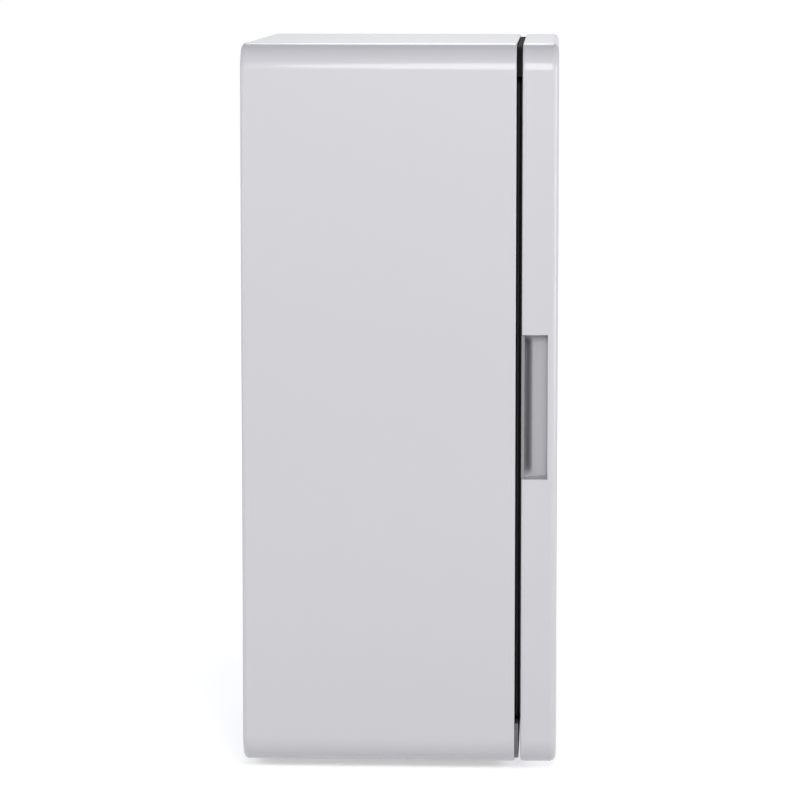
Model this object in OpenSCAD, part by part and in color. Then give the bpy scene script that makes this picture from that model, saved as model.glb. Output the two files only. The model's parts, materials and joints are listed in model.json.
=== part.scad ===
// Free-standing mini fridge with a thermoelectric cooler, one door and a side finger pull.
// Frame: +Z up, front of the door at -Y, finger pull at -X, hinges at +X, feet on z = 0.

/* [Overall] */
// Width of the cabinet and of the door
shell_w = 450; // [420:5:560]
// Height of the cabinet and of the door, without the feet
shell_h = 725; // [640:2:880]
// Depth of the cabinet behind the door
cabinet_d = 274; // [250:2:340]
// Gap between the cabinet and the door
door_gap = 6; // [5:0.5:8]
// Thickness of the door
door_d = 36; // [32:1:46]
// Height of the feet
foot_h = 8; // [6:1:14]

/* [Edges] */
// Corner radius seen from the front
corner_r = 28; // [16:1:36]
// Edge radius around the back
back_edge_r = 5; // [3:0.5:8]
// Edge radius around the front of the door
door_edge_r = 7; // [4:0.5:9]
// Thickness of the outer skins
skin_t = 2.5; // [2.2:0.1:3.5]

/* [Inside] */
// Thickness of the inner liner
liner_t = 2; // [1.5:0.1:3]
// Side wall, from outside to the interior
side_wall = 33; // [31:1:45]
// Top wall, from outside to the interior
top_wall = 52; // [50:1:70]
// Bottom wall, from outside to the interior
bottom_wall = 62; // [60:1:80]
// Rear wall with the cooler in it
rear_wall = 70; // [70:1:80]

/* [Shelves and drawer] */
// Height of the drawer cover above the interior floor
cover_above_floor = 122; // [110:1:130]
// Height of the lower shelf above the interior floor
lower_shelf_above_floor = 230; // [220:1:236]
// Height of the upper shelf above the interior floor
upper_shelf_above_floor = 402; // [390:1:430]
// Thickness of the shelf glass
glass_t = 4; // [3:0.5:5]
// Free travel of a shelf or the drawer behind the closed door
shelf_travel = 10; // [6:1:10]

/* [Door] */
// Distance of the gasket from the top of the door
gasket_top = 34; // [30:1:44]
// Distance of the gasket from the bottom of the door
gasket_bottom = 44; // [38:1:54]
// Width of the gasket
gasket_w = 13; // [10:1:13]
// Depth of the door bins
bin_d = 45; // [36:1:45]

/* [Finger pull] */
// Height of the finger pull
pull_h = 145; // [110:1:170]
// Width of the finger pull from the back of the door
pull_w = 26; // [20:1:27]
// Height of the middle of the finger pull above the bottom of the door
pull_above_base = 364; // [280:1:420]
// Depth of the flat floor of the finger pull
pull_floor = 12; // [8:0.5:14]
// Radius of the finger trough
pull_trough_r = 8; // [6:0.5:9]
// Depth of the liner's lip below the side of the door
pull_lip = 3; // [1:0.5:5]

/* [Hinge] */
// Distance of the hinge axis from the side of the door
hinge_in = 11; // [10:0.5:13]
// Distance of the hinge axis from the back of the door
hinge_back = 18; // [16:0.5:20]
// Distance of the hinge leaves from the ends of the door
hinge_end = 28; // [27:0.5:30]
// Radius of the hinge pins
pin_r = 3; // [2.5:0.1:3.5]

/* [Hidden] */

// Steps in a full circle
$fn = 64;
// Steps in a rounded corner of an outline
CORNER_STEPS = 12;
// Overshoot of a cut past a face
CUT = 1;
// Clearance between pieces that move past each other
SLIP = 0.4;
// Radial clearance of a running fit
FIT = 0.05;

// Colours
SHELL_GREY = [0.85, 0.85, 0.88];
LINER_WHITE = [0.93, 0.93, 0.94];
BLACK = [0.08, 0.07, 0.08];
PLATE_GREY = [0.42, 0.40, 0.42];
PULL_GREY = [0.70, 0.70, 0.72];
FOAM = [0.93, 0.86, 0.62];
ALUMINIUM = [0.76, 0.77, 0.78];
STEEL = [0.62, 0.62, 0.64];
BOARD_GREEN = [0.10, 0.42, 0.24];
CLEAR = [0.78, 0.88, 0.90, 0.5];
WHITE = [0.95, 0.95, 0.95];

// Main planes
back_y = (cabinet_d + door_gap + door_d) / 2;
cabinet_front_y = back_y - cabinet_d;
door_back_y = cabinet_front_y - door_gap;
door_front_y = door_back_y - door_d;
base_z = foot_h;
top_z = foot_h + shell_h;
mid_z = base_z + shell_h / 2;
half_w = shell_w / 2;
cabinet_edge_r = 1.2;
door_back_edge_r = 2;
in_x = half_w - side_wall;
in_z0 = base_z + bottom_wall;
in_z1 = top_z - top_wall;
in_back_y = back_y - rear_wall;
in_mid_z = (in_z0 + in_z1) / 2;
frame_t = 6;
liner_r = 14;

// Base plate and feet
base_plate_t = 1.5;
base_side = 32;
base_end = 12;
foot_x = half_w - 80;
foot_y = cabinet_d / 2 - 50;
foot_mid_y = (cabinet_front_y + back_y) / 2;
foot_r = 14;
foot_taper = 1.5;
foot_pad_t = 2;
foot_socket_r = 4.5;
foot_socket_d = 3;
foot_shank_r = 2;
foot_head_r = 4;
foot_head_z = 1;
foot_screw_end = base_z + 8;

// Strips in the gap between the cabinet and the door
strip_in = 3;
trim_play = 0.6;
trim_above_gasket = 1.5;
plate_play = 2;
plate_below_gasket = 1;

// Cooler stack, from the interior towards the back
cooler_z = in_z0 + 310;
cold_base_t = 4;
cold_fin_d = 20;
cold_fins = 15;
fin_t = 1.5;
fin_root = 0.5;
block_s = 60;
module_s = 40;
module_t = 4;
ceramic_t = 0.8;
block_d = rear_wall - 50;
hot_base_y = in_back_y + block_d + module_t;
hot_base_t = 5;
hot_fin_d = 20;
hot_fins = 19;
hot_sink_w = 150;
hot_sink_h = 92;
cold_sink_w = 120;
cold_sink_h = 96;
sink_screw_in = 5;
sink_screw_r = 2;
sink_screw_reach = 12;
sink_head_r = 3.8;
sink_head_t = 3;
sink_head_room = 5;
hot_fan_s = 120;
cold_fan_s = 80;
fan_d = 15;
hot_fan_y = hot_base_y + hot_base_t + hot_fin_d + 0.3;
cold_fan_room = 3;
cold_fan_y = in_back_y - cold_base_t - cold_fin_d - cold_fan_room - fan_d;
hot_hole_pitch = 105;
cold_hole_pitch = 71.5;
fan_screw_r = 1.75;
fan_screw_reach = 12;
fan_head_r = 3.4;
fan_head_t = 1.6;

// Fans
fan_corner_r = 4;
fan_rim = 2.5;
fan_hole_r = 2;
fan_hub = 0.17;
fan_stub_t = 3;
fan_arm_w = 3;
fan_arm_t = 2.4;
fan_arm_grip = 0.8;
fan_axle_r = 1.5;
fan_blades = 7;
blade_play = 2;
blade_w = 18;
blade_t = 1.4;
blade_angle = 38;
hub_play = 1;

// Service bay and rear cover
bay_w = 280;
bay_z0 = in_z0 + 40;
bay_z1 = in_z0 + 470;
bay_mid_z = (bay_z0 + bay_z1) / 2;
bay_h = bay_z1 - bay_z0;
bay_r = 10;
bay_t = 2;
bay_step = 4;
bay_flange = 8;
bay_floor_y = hot_base_y - bay_t;
bay_post_r = 5;
cover_slip = 0.5;
cover_sink = 0.4;
rear_screw_x = bay_w / 2 - 12;
rear_screw_in = 14;
rear_screw_l = 10;
rear_screw_r = 1.5;
rear_column_r = 7;
rear_hole_d = 14;
rear_head_r = 3.6;
rear_head_sink = 1.9;
slot_h = 4;
slot_pitch = 9;
fan_slot_x = 62;
fan_slots = 6;
top_slot_x0 = 20;
top_slot_x1 = 110;
end_slots = 5;
end_slot_in = 30;

// Supply, board, inlet and switch in the bay
supply_x0 = -126;
supply_w = 108;
supply_h = 70;
supply_d = 30;
supply_z = bay_z0 + 62;
vent_w = 6;
vent_h = 48;
vent_pitch = 11;
vents = 9;
vent_sink = 1.5;
board_w = 96;
board_h = 56;
board_t = 1.6;
board_x = 74;
board_z = bay_z0 + 118;
board_stand = 5;
board_leg_in = 5;
board_leg_r = 3;
inlet_x = 66;
inlet_z = bay_z0 + 40;
inlet_w = 27.6;
inlet_h = 20.6;
inlet_d = 24;
socket_w = 24;
socket_h = 16.8;
socket_d = 17;
prong_w = 2;
prong_h = 4;
panel_slip = 0.2;
lug_over = 2.2;
lug_rise = 2.7;
rocker_x = 104;
bezel_w = 13.6;
bezel_d = 15;
bezel_wall = 1.4;
rocker_w = 10;
rocker_h = 16.4;
rocker_room = 13;
rocker_face_y = back_y - 0.6;
rocker_axis_y = back_y - 6.8;
rocker_axle_r = 1.2;
rocker_bow_r = 8.2;
rocker_dish_r = 8.6;
rocker_dish_y = back_y + 6.6;

// Cold air cover and its drain
cold_cover_w = 156;
cold_cover_h = 136;
cold_cover_t = 2;
cold_cover_r = 10;
cold_cover_y = cold_fan_y - 6;
cold_screw_in = 9;
cold_screw_r = 1.5;
cold_head_r = 3;
cold_head_t = 1.5;
cold_post_r = 5;
fan_post_r = 4;
cold_slot_h = 4.5;
cold_slot_x = 38;
side_slot_h = 14;
side_slot_pitch = 20;
tube_r = 5;
tube_t = 1.5;
tube_in = 3;
tube_out = 12;
tube_z = cooler_z - cold_cover_h / 2 + 8;
cup_w = 100;
cup_d = 38;
cup_h = 20;
cup_t = 2;
cup_top_z = tube_z - tube_r - 7;

// Control housing on the ceiling
control_w = 150;
control_h = 34;
control_t = 2;
control_y0 = in_back_y - 70;
control_y1 = in_back_y - 2;
control_z0 = in_z1 - control_h;
knob_x = 44;
knob_z = control_z0 + control_h / 2;
knob_r = 13;
knob_d = 12;
knob_gap = 0.6;
knob_grips = 12;
grip_r = 1.8;
grip_out = 0.8;
ridge_w = 2;
ridge_h = 3;
ridge_in = 4;
shaft_r = 3;
bushing_r = 4;
bushing_l = 3;
thermostat_s = 24;
thermostat_d = 12;
lens_x0 = -60;
lens_x1 = 20;
lens_in = 8;
lens_edge = 2;
lens_t = 2;
lamp_x0 = -56;
lamp_x1 = 16;
lamp_in = 11;
lamp_z = control_z0 + 6;
lamp_count = 6;
lamp_pitch = 11;
lamp_s = 4;

// Sensor and switch behind the liner
sensor_w = 8;
sensor_d = 20;
sensor_h = 30;
sensor_gap = 2;
sensor_y = in_back_y - 60;
sensor_slots = 4;
sensor_slot_h = 3;
reed_x = 12;
reed_y = 1.5;
reed_d = 8.5;
reed_above = 5;
reed_h = 10;

// Shelves
cover_z = in_z0 + cover_above_floor;
lower_shelf_z = in_z0 + lower_shelf_above_floor;
upper_shelf_z = in_z0 + upper_shelf_above_floor;
rib_w = 8;
rib_t = 5;
guide_x = 24;
guide_w = 6;
guide_h = 2;
bin_front_y = door_back_y + SLIP + bin_d;
shelf_front_y = bin_front_y + shelf_travel + 4;
shelf_back_y = in_back_y - 4;
shelf_side = 1.5;
glass_in = 6;
glass_lift = 4;
trim_lap = 6;
trim_front_h = 14;
trim_front_t = 8;
trim_lift = 0.3;
drawer_side = 22;
drawer_w = 2 * (in_x - drawer_side);
drawer_t = 2.2;
drawer_z0 = in_z0 + 2.3;
drawer_z1 = in_z0 + cover_above_floor - 20;
drawer_back_y = in_back_y - 6;
drawer_grip_h = 16;
drawer_grip_in = 6;

// Door
gasket_z0 = base_z + gasket_bottom;
gasket_z1 = top_z - gasket_top;
gasket_x = half_w - 15;
gasket_rest = 0.3;
gasket_r = 10;
groove_in = 3;
groove_y = 1.8;
groove_w = 1.8;
door_liner_t = 2.5;
dyke_play = 12;
dyke_x = in_x - dyke_play;
dyke_w = 12;
dyke_d = 28;
dyke_r = 12;
dyke_z0 = in_z0 + 14;
dyke_z1 = in_z1 - 14;
pull_z = base_z + pull_above_base;
pull_wall = 2;
pull_skin = 1;
pull_depth = pull_floor + pull_trough_r;
trough_back_y = door_back_y - door_liner_t - pull_skin;
trough_y = trough_back_y - 0.4 * pull_trough_r;
bin_x = dyke_x - dyke_w - 6;
bin_t = 2;
bin_low_h = 90;
bin_h = 68;
bin_low_z = in_z0 + 26;
bin_mid_z = in_z0 + 226;
bin_up_z = in_z0 + 420;
bin_back_cut = 0.7;
bin_back_t = 6;
lug_t = 4;
lug_h = 16;
lug_below = 10;
lug_y = 10;
lug_d = 10;
ear_y = 8;
ear_d = 14;
ear_t = 4;
ear_play = 0.3;
magnet_z = in_z1 + 8;
magnet_x = 10;
magnet_d = 6;
magnet_h = 8;

// Hinge
hinge_x = half_w - hinge_in;
hinge_y = door_back_y - hinge_back;
leaf_t = 3;
leaf_r = 8;
pin_l = 14;
upper_leaf_z = top_z - hinge_end - leaf_t;
lower_leaf_z = base_z + hinge_end;
notch_slack = 0.6;
notch_side = 1;
notch_front = 5;
bracket_w = 44;
bracket_h = 20;
bracket_x1 = hinge_x + leaf_r;
bracket_x0 = bracket_x1 - bracket_w;
bracket_end = corner_r / 4;
hinge_screw_x = [7, 21];
hinge_screw_l = 16;
hinge_screw_r = 2;
hinge_head_r = 4;
hinge_head_t = 1.6;
block_w = 18;
block_side = 2;
block_play = 0.5;
block_h = 15;
bush_end = 0.2;
trim_end_x = hinge_x - 14;

// Cross recess of a screw
cross_l = 2.4;
cross_w = 0.45;
cross_d = 0.9;

// Outline of a rectangle with rounded corners, centred on the origin
function corner_arc(cx, cz, r, start, steps) =
  [for (i = [0:steps]) [cx + r * cos(start + 90 * i / steps), cz + r * sin(start + 90 * i / steps)]];
function round_outline(w, h, r, steps = CORNER_STEPS) = concat(
  corner_arc(w / 2 - r, h / 2 - r, r, 0, steps),
  corner_arc(r - w / 2, h / 2 - r, r, 90, steps),
  corner_arc(r - w / 2, r - h / 2, r, 180, steps),
  corner_arc(w / 2 - r, r - h / 2, r, 270, steps)
);

// Rings of a soft-edged body: the front edge first, then the back edge, each as [y, inset]
function edge_rings(y0, y1, e0, e1, steps = 4) = concat(
  [for (i = [0:steps]) [y0 + e0 * (1 - cos(90 * i / steps)), e0 * (1 - sin(90 * i / steps))]],
  [for (i = [0:steps]) [y1 - e1 * (1 - sin(90 * i / steps)), e1 * (1 - cos(90 * i / steps))]]
);
function ring_points(w, h, r, ring) =
  [for (p = round_outline(w - 2 * ring[1], h - 2 * ring[1], r - ring[1])) [p[0], ring[0], p[1]]];

// Body with a rounded outline and rounded front and back edges, at the height of the cabinet
module soft_body(w, h, r, y0, y1, e0, e1) {
  rings = edge_rings(y0, y1, e0, e1);
  count = 4 * (CORNER_STEPS + 1);
  last = len(rings) - 1;
  points = [for (ring = rings) each ring_points(w, h, r, ring)];
  sides = [
    for (k = [0:last - 1], i = [0:count - 1])
      [k * count + (i + 1) % count, (k + 1) * count + (i + 1) % count, (k + 1) * count + i, k * count + i]
  ];
  front = [[for (i = [0:count - 1]) count - 1 - i]];
  back = [[for (i = [0:count - 1]) last * count + i]];
  translate([0, 0, mid_z])
    polyhedron(points = points, faces = concat(sides, front, back));
}

// Extrudes a front-view outline from y0 to y1
module slab(y0, y1) {
  translate([0, y1, 0])
    rotate([90, 0, 0])
      linear_extrude(y1 - y0)
        children();
}

// Box from two opposite corners
module box(a, b) {
  translate(a)
    cube(b - a);
}

// Round bar along Y
module bar_y(x, z, y0, y1, r) {
  translate([x, y1, z])
    rotate([90, 0, 0])
      cylinder(r = r, h = y1 - y0);
}

// Front-view outline at a height
module panel_outline(w, h, r, z) {
  translate([0, z])
    polygon(round_outline(w, h, r));
}

// Inside of the outer skin, seen from the front
module cavity_outline() {
  panel_outline(shell_w - 2 * skin_t, shell_h - 2 * skin_t, corner_r - skin_t, mid_z);
}

// Cross recess in a head that faces +Y, with its top at y
module cross_recess(y) {
  for (turn = [0, 90])
    rotate([0, turn, 0])
      box([-cross_l, y - cross_d, -cross_w], [cross_l, y + CUT, cross_w]);
}

// Pan head screw along Y on the origin's axis, with its head towards +Y
module screw_y(y_head, length, r, head_r, head_t) {
  difference() {
    bar_y(0, 0, y_head, y_head + head_t, head_r);
    cross_recess(y_head + head_t);
  }
  bar_y(0, 0, y_head - length, y_head + 0.5, r);
}

// Repeats at the four corners of a rectangle centred on a height
module at_corners(x, up, z) {
  for (sx = [-1, 1], sz = [-1, 1])
    translate([sx * x, 0, z + sz * up])
      children();
}

// Box between two distances from the middle plane, on one side
module box_side(side, x0, x1, y0, y1, z0, z1) {
  if (side > 0) {
    box([x0, y0, z0], [x1, y1, z1]);
  } else {
    box([-x1, y0, z0], [-x0, y1, z1]);
  }
}

// ---------------------------------------------------------------- cabinet

module outer_shell() {
  color(SHELL_GREY)
    difference() {
      soft_body(shell_w, shell_h, corner_r, cabinet_front_y, back_y, cabinet_edge_r, back_edge_r);
      slab(cabinet_front_y - CUT, back_y - skin_t)
        cavity_outline();
      slab(back_y - skin_t - CUT, back_y + CUT)
        bay_outline(0);
      foot_screw_room();
    }
}

module at_feet() {
  for (sx = [-1, 1], sy = [-1, 1])
    translate([sx * foot_x, foot_mid_y + sy * foot_y, 0])
      children();
}

module base_plate() {
  color(PLATE_GREY)
    difference() {
      box([base_side - half_w, cabinet_front_y + base_end, base_z - base_plate_t],
        [half_w - base_side, back_y - base_end, base_z]);
      at_feet()
        cylinder(r = foot_shank_r, h = base_z + CUT);
    }
}

module feet() {
  body_h = base_z - base_plate_t - foot_pad_t;
  color(BLACK)
    at_feet()
      difference() {
        union() {
          cylinder(r1 = foot_r - foot_taper, r2 = foot_r, h = body_h);
          translate([0, 0, body_h])
            cylinder(r = foot_r, h = foot_pad_t);
        }
        translate([0, 0, -CUT])
          cylinder(r = foot_socket_r, h = CUT + foot_socket_d);
        cylinder(r = foot_shank_r, h = base_z + CUT);
      }
}

module foot_screws() {
  head_t = foot_socket_d - foot_head_z;
  color(STEEL)
    at_feet() {
      translate([0, 0, foot_head_z])
        cylinder(r = foot_head_r, h = head_t);
      translate([0, 0, foot_head_z + head_t / 2])
        cylinder(r = foot_shank_r, h = foot_screw_end - foot_head_z - head_t / 2);
    }
}

module liner_outline(grow) {
  panel_outline(2 * (in_x + grow), in_z1 - in_z0 + 2 * grow, liner_r + grow, in_mid_z);
}

module front_frame() {
  color(BLACK)
    difference() {
      slab(cabinet_front_y, cabinet_front_y + frame_t)
        cavity_outline();
      slab(cabinet_front_y - CUT, cabinet_front_y + frame_t + CUT)
        liner_outline(liner_t);
      upper_bracket_plate();
      lower_bracket_plate();
      reed_block();
      hinge_screw_shanks();
    }
}

module gap_strip(z0, z1, thick) {
  intersection() {
    slab(cabinet_front_y - thick, cabinet_front_y)
      panel_outline(shell_w - 2 * strip_in, shell_h - 2 * strip_in, corner_r - strip_in, mid_z);
    box([-half_w, cabinet_front_y - thick, z0], [trim_end_x, cabinet_front_y, z1]);
  }
}

module upper_gap_trim() {
  color(BLACK)
    gap_strip(gasket_z1 + trim_above_gasket, top_z, door_gap - trim_play);
}

module lower_gap_plate() {
  color(PLATE_GREY)
    gap_strip(base_z, gasket_z0 - plate_below_gasket, door_gap - plate_play);
}

// Outline of the service bay, grown all round
module bay_outline(grow) {
  panel_outline(bay_w + 2 * grow, bay_h + 2 * grow, bay_r, bay_mid_z);
}

module cooler_window(size, y0, y1) {
  box([-size / 2, y0, cooler_z - size / 2], [size / 2, y1, cooler_z + size / 2]);
}

module cabinet_insulation() {
  color(FOAM)
    difference() {
      slab(cabinet_front_y + frame_t, back_y - skin_t)
        cavity_outline();
      slab(cabinet_front_y, in_back_y + liner_t)
        liner_outline(liner_t);
      slab(bay_floor_y, back_y)
        bay_outline(-bay_step);
      slab(back_y - skin_t - bay_t, back_y)
        bay_outline(bay_flange);
      cooler_window(block_s, in_back_y, back_y);
      bar_y(0, tube_z, in_back_y, back_y, tube_r);
      reed_block();
      foot_screw_room();
      hinge_screw_shanks();
      rear_screw_shanks();
    }
}

module foot_screw_room() {
  at_feet()
    cylinder(r = foot_shank_r, h = foot_screw_end);
}

module inner_liner() {
  color(LINER_WHITE) {
    difference() {
      slab(cabinet_front_y, in_back_y + liner_t)
        liner_outline(liner_t);
      slab(cabinet_front_y - CUT, in_back_y)
        liner_outline(0);
      cooler_window(block_s, in_back_y - CUT, in_back_y + liner_t + CUT);
      bar_y(0, tube_z, in_back_y - CUT, in_back_y + liner_t + CUT, tube_r);
    }
    for (z = [cover_z, lower_shelf_z, upper_shelf_z], side = [-1, 1])
      shelf_rib(side, z);
    drawer_guides();
  }
}

module shelf_rib(side, z) {
  sunk = liner_t / 2;
  box_side(side, in_x - rib_w, in_x + sunk, shelf_front_y + 2, in_back_y + sunk, z - rib_t, z);
}

module drawer_guides() {
  inner = drawer_w / 2 - guide_x - guide_w;
  for (side = [-1, 1])
    box_side(side, inner, inner + guide_w, shelf_front_y + guide_w, in_back_y + liner_t / 2,
      in_z0 - liner_t / 2, in_z0 + guide_h);
}

module service_bay() {
  color(LINER_WHITE)
    difference() {
      union() {
        slab(bay_floor_y, back_y - skin_t)
          bay_outline(-bay_step);
        slab(back_y - skin_t - bay_t, back_y - skin_t)
          bay_outline(bay_flange);
      }
      difference() {
        slab(hot_base_y, back_y)
          bay_outline(-bay_step - bay_t);
        bay_posts();
        screw_columns();
      }
      cooler_window(block_s + 2 * bay_t, bay_floor_y - CUT, back_y);
      bar_y(0, tube_z, bay_floor_y - CUT, hot_base_y + CUT, tube_r);
      hot_fan_screw_holes();
      rear_screw_shanks();
    }
}

module at_hot_fan_corners() {
  at_corners(hot_hole_pitch / 2, hot_hole_pitch / 2, cooler_z)
    children();
}

module bay_posts() {
  at_hot_fan_corners()
    bar_y(0, 0, hot_base_y - CUT, hot_fan_y, bay_post_r);
}

module hot_fan_screw_holes() {
  at_hot_fan_corners()
    bar_y(0, 0, hot_fan_y - fan_screw_reach, hot_fan_y + CUT, fan_screw_r);
}

module at_rear_screws() {
  for (sx = [-1, 1], z = [bay_z0 + rear_screw_in, bay_mid_z, bay_z1 - rear_screw_in])
    translate([sx * rear_screw_x, 0, z])
      children();
}

module screw_columns() {
  at_rear_screws()
    bar_y(0, 0, hot_base_y - CUT, back_y - skin_t, rear_column_r);
}

module rear_screw_shanks() {
  at_rear_screws()
    bar_y(0, 0, back_y - rear_hole_d, back_y, rear_screw_r);
}

module slot_row(x0, x1, z) {
  box([x0, back_y - skin_t - CUT, z - slot_h / 2], [x1, back_y + CUT, z + slot_h / 2]);
}

module rear_cover() {
  color(SHELL_GREY)
    difference() {
      slab(back_y - skin_t, back_y - cover_sink)
        panel_outline(bay_w - 2 * cover_slip, bay_h - 2 * cover_slip, bay_r - cover_slip, bay_mid_z);
      for (k = [-fan_slots:fan_slots])
        slot_row(-fan_slot_x, fan_slot_x, cooler_z + k * slot_pitch);
      for (k = [0:end_slots - 1]) {
        slot_row(top_slot_x0, top_slot_x1, bay_z1 - end_slot_in - k * slot_pitch);
        slot_row(-top_slot_x1, -top_slot_x0, bay_z1 - end_slot_in - k * slot_pitch);
        slot_row(-top_slot_x1, 0, bay_z0 + end_slot_in + k * slot_pitch * 1.5);
      }
      inlet_opening();
      rocker_opening();
      rear_screw_shanks();
      at_rear_screws()
        bar_y(0, 0, back_y - rear_head_sink, back_y + CUT, rear_head_r);
    }
}

// Block through the rear cover, centred on a place at the inlet's height
module inlet_block(x, w, h, y0, y1) {
  box([x - w / 2, y0, inlet_z - h / 2], [x + w / 2, y1, inlet_z + h / 2]);
}

// Lugs that grip the rear cover from behind
module panel_lugs(x, w) {
  inlet_block(x, w + 2 * lug_over, inlet_h + 2 * lug_rise, back_y - skin_t - 2, back_y - skin_t);
}

module inlet_opening() {
  inlet_block(inlet_x, inlet_w + 2 * panel_slip, inlet_h + 2 * panel_slip, back_y - 10, back_y + CUT);
}

module rocker_opening() {
  inlet_block(rocker_x, bezel_w + 2 * panel_slip, inlet_h + 2 * panel_slip, back_y - bezel_d - CUT,
    back_y + CUT);
}

module rear_cover_screws() {
  color(STEEL)
    at_rear_screws()
      screw_y(back_y - rear_head_sink, rear_screw_l, rear_screw_r, rear_head_r, rear_head_sink - 0.3);
}

// ---------------------------------------------------------------- cooler

// Heat sink base and fins, with the fins from y0 to y1
module finned_sink(w, h, base_y0, base_y1, fins, fin_y0, fin_y1) {
  pitch = (w - fin_t) / (fins - 1);
  box([-w / 2, base_y0, cooler_z - h / 2], [w / 2, base_y1, cooler_z + h / 2]);
  for (k = [0:fins - 1])
    translate([k * pitch - w / 2, 0, cooler_z])
      box([0, fin_y0, -h / 2], [fin_t, fin_y1, h / 2]);
}

module hot_sink() {
  fin_y0 = hot_base_y + hot_base_t;
  color(ALUMINIUM)
    difference() {
      finned_sink(hot_sink_w, hot_sink_h, hot_base_y, fin_y0, hot_fins, fin_y0 - fin_root,
        fin_y0 + hot_fin_d);
      at_sink_screws() {
        bar_y(0, 0, hot_base_y - CUT, fin_y0 + CUT, sink_screw_r);
        bar_y(0, 0, fin_y0, fin_y0 + hot_fin_d + CUT, sink_head_room);
      }
    }
}

module at_sink_screws() {
  at_corners(block_s / 2 - sink_screw_in, block_s / 2 - sink_screw_in, cooler_z)
    children();
}

module thermoelectric_module() {
  cold_y = in_back_y + block_d;
  leg_s = module_s - 3;
  color(WHITE) {
    cooler_window(module_s, cold_y, cold_y + ceramic_t);
    cooler_window(module_s, hot_base_y - ceramic_t, hot_base_y);
    cooler_window(leg_s, cold_y + ceramic_t / 2, hot_base_y - ceramic_t / 2);
  }
}

module cold_block() {
  hot_face_y = in_back_y + block_d;
  color(ALUMINIUM)
    difference() {
      cooler_window(block_s, in_back_y, hot_face_y);
      at_sink_screws()
        bar_y(0, 0, hot_face_y - sink_screw_reach, hot_face_y + CUT, sink_screw_r);
    }
}

module cold_sink() {
  base_y0 = in_back_y - cold_base_t;
  color(ALUMINIUM)
    finned_sink(cold_sink_w, cold_sink_h, base_y0, in_back_y, cold_fins, base_y0 - cold_fin_d,
      base_y0 + fin_root);
}

module sink_screws() {
  length = hot_base_t + module_t + sink_screw_reach;
  color(STEEL)
    at_sink_screws()
      screw_y(hot_base_y + hot_base_t, length, sink_screw_r, sink_head_r, sink_head_t);
}

// Square fan frame with its motor stub and two arms, at the front or at the back
module fan_frame(size, pitch, y0, stub_at_back) {
  y1 = y0 + fan_d;
  bore_r = size / 2 - fan_rim;
  stub_y0 = stub_at_back ? y1 - fan_stub_t : y0;
  arm_r = bore_r + fan_arm_grip;
  difference() {
    slab(y0, y1)
      panel_outline(size, size, fan_corner_r, cooler_z);
    bar_y(0, cooler_z, y0 - CUT, y1 + CUT, bore_r);
    at_corners(pitch / 2, pitch / 2, cooler_z)
      bar_y(0, 0, y0 - CUT, y1 + CUT, fan_hole_r);
  }
  difference() {
    union() {
      bar_y(0, cooler_z, stub_y0, stub_y0 + fan_stub_t, size * fan_hub);
      for (turn = [45, 135])
        translate([0, stub_y0, cooler_z])
          rotate([0, turn, 0])
            box([-arm_r, 0, -fan_arm_w / 2], [arm_r, fan_arm_t, fan_arm_w / 2]);
    }
    bar_y(0, cooler_z, stub_y0 - CUT, stub_y0 + fan_stub_t + CUT, fan_axle_r + FIT);
  }
}

// Fan rotor with flat pitched blades and its axle in the stub
module fan_wheel(size, y0, stub_at_back) {
  tip_r = size / 2 - fan_rim - blade_play;
  hub_r = size * fan_hub;
  stub_room = fan_stub_t + 0.5;
  hub_y0 = y0 + (stub_at_back ? hub_play : stub_room);
  hub_y1 = y0 + fan_d - (stub_at_back ? stub_room : hub_play);
  axle_y0 = y0 + (stub_at_back ? 2 * hub_play : SLIP);
  axle_y1 = y0 + fan_d - (stub_at_back ? SLIP : 2 * hub_play);
  bar_y(0, cooler_z, hub_y0, hub_y1, hub_r);
  bar_y(0, cooler_z, axle_y0, axle_y1, fan_axle_r);
  intersection() {
    bar_y(0, cooler_z, hub_y0 + 0.5, hub_y1 - 0.5, tip_r);
    translate([0, (hub_y0 + hub_y1) / 2, cooler_z])
      for (k = [0:fan_blades - 1])
        rotate([0, k * 360 / fan_blades, 0])
          rotate([blade_angle, 0, 0])
            box([hub_r - 2, -blade_w / 2, -blade_t / 2], [hub_r - 2 + tip_r, blade_w / 2, blade_t / 2]);
  }
}

module hot_fan_housing() {
  color(BLACK)
    fan_frame(hot_fan_s, hot_hole_pitch, hot_fan_y, false);
}

module hot_fan_rotor() {
  color(BLACK)
    fan_wheel(hot_fan_s, hot_fan_y, false);
}

module hot_fan_screws() {
  color(STEEL)
    at_hot_fan_corners()
      screw_y(hot_fan_y + fan_d, fan_d + fan_screw_reach, fan_screw_r, fan_head_r, fan_head_t);
}

module cold_fan_housing() {
  color(BLACK)
    fan_frame(cold_fan_s, cold_hole_pitch, cold_fan_y, true);
}

module cold_fan_rotor() {
  color(BLACK)
    fan_wheel(cold_fan_s, cold_fan_y, true);
}

module at_cold_cover_corners() {
  at_corners(cold_cover_w / 2 - cold_screw_in, cold_cover_h / 2 - cold_screw_in, cooler_z)
    children();
}

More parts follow.
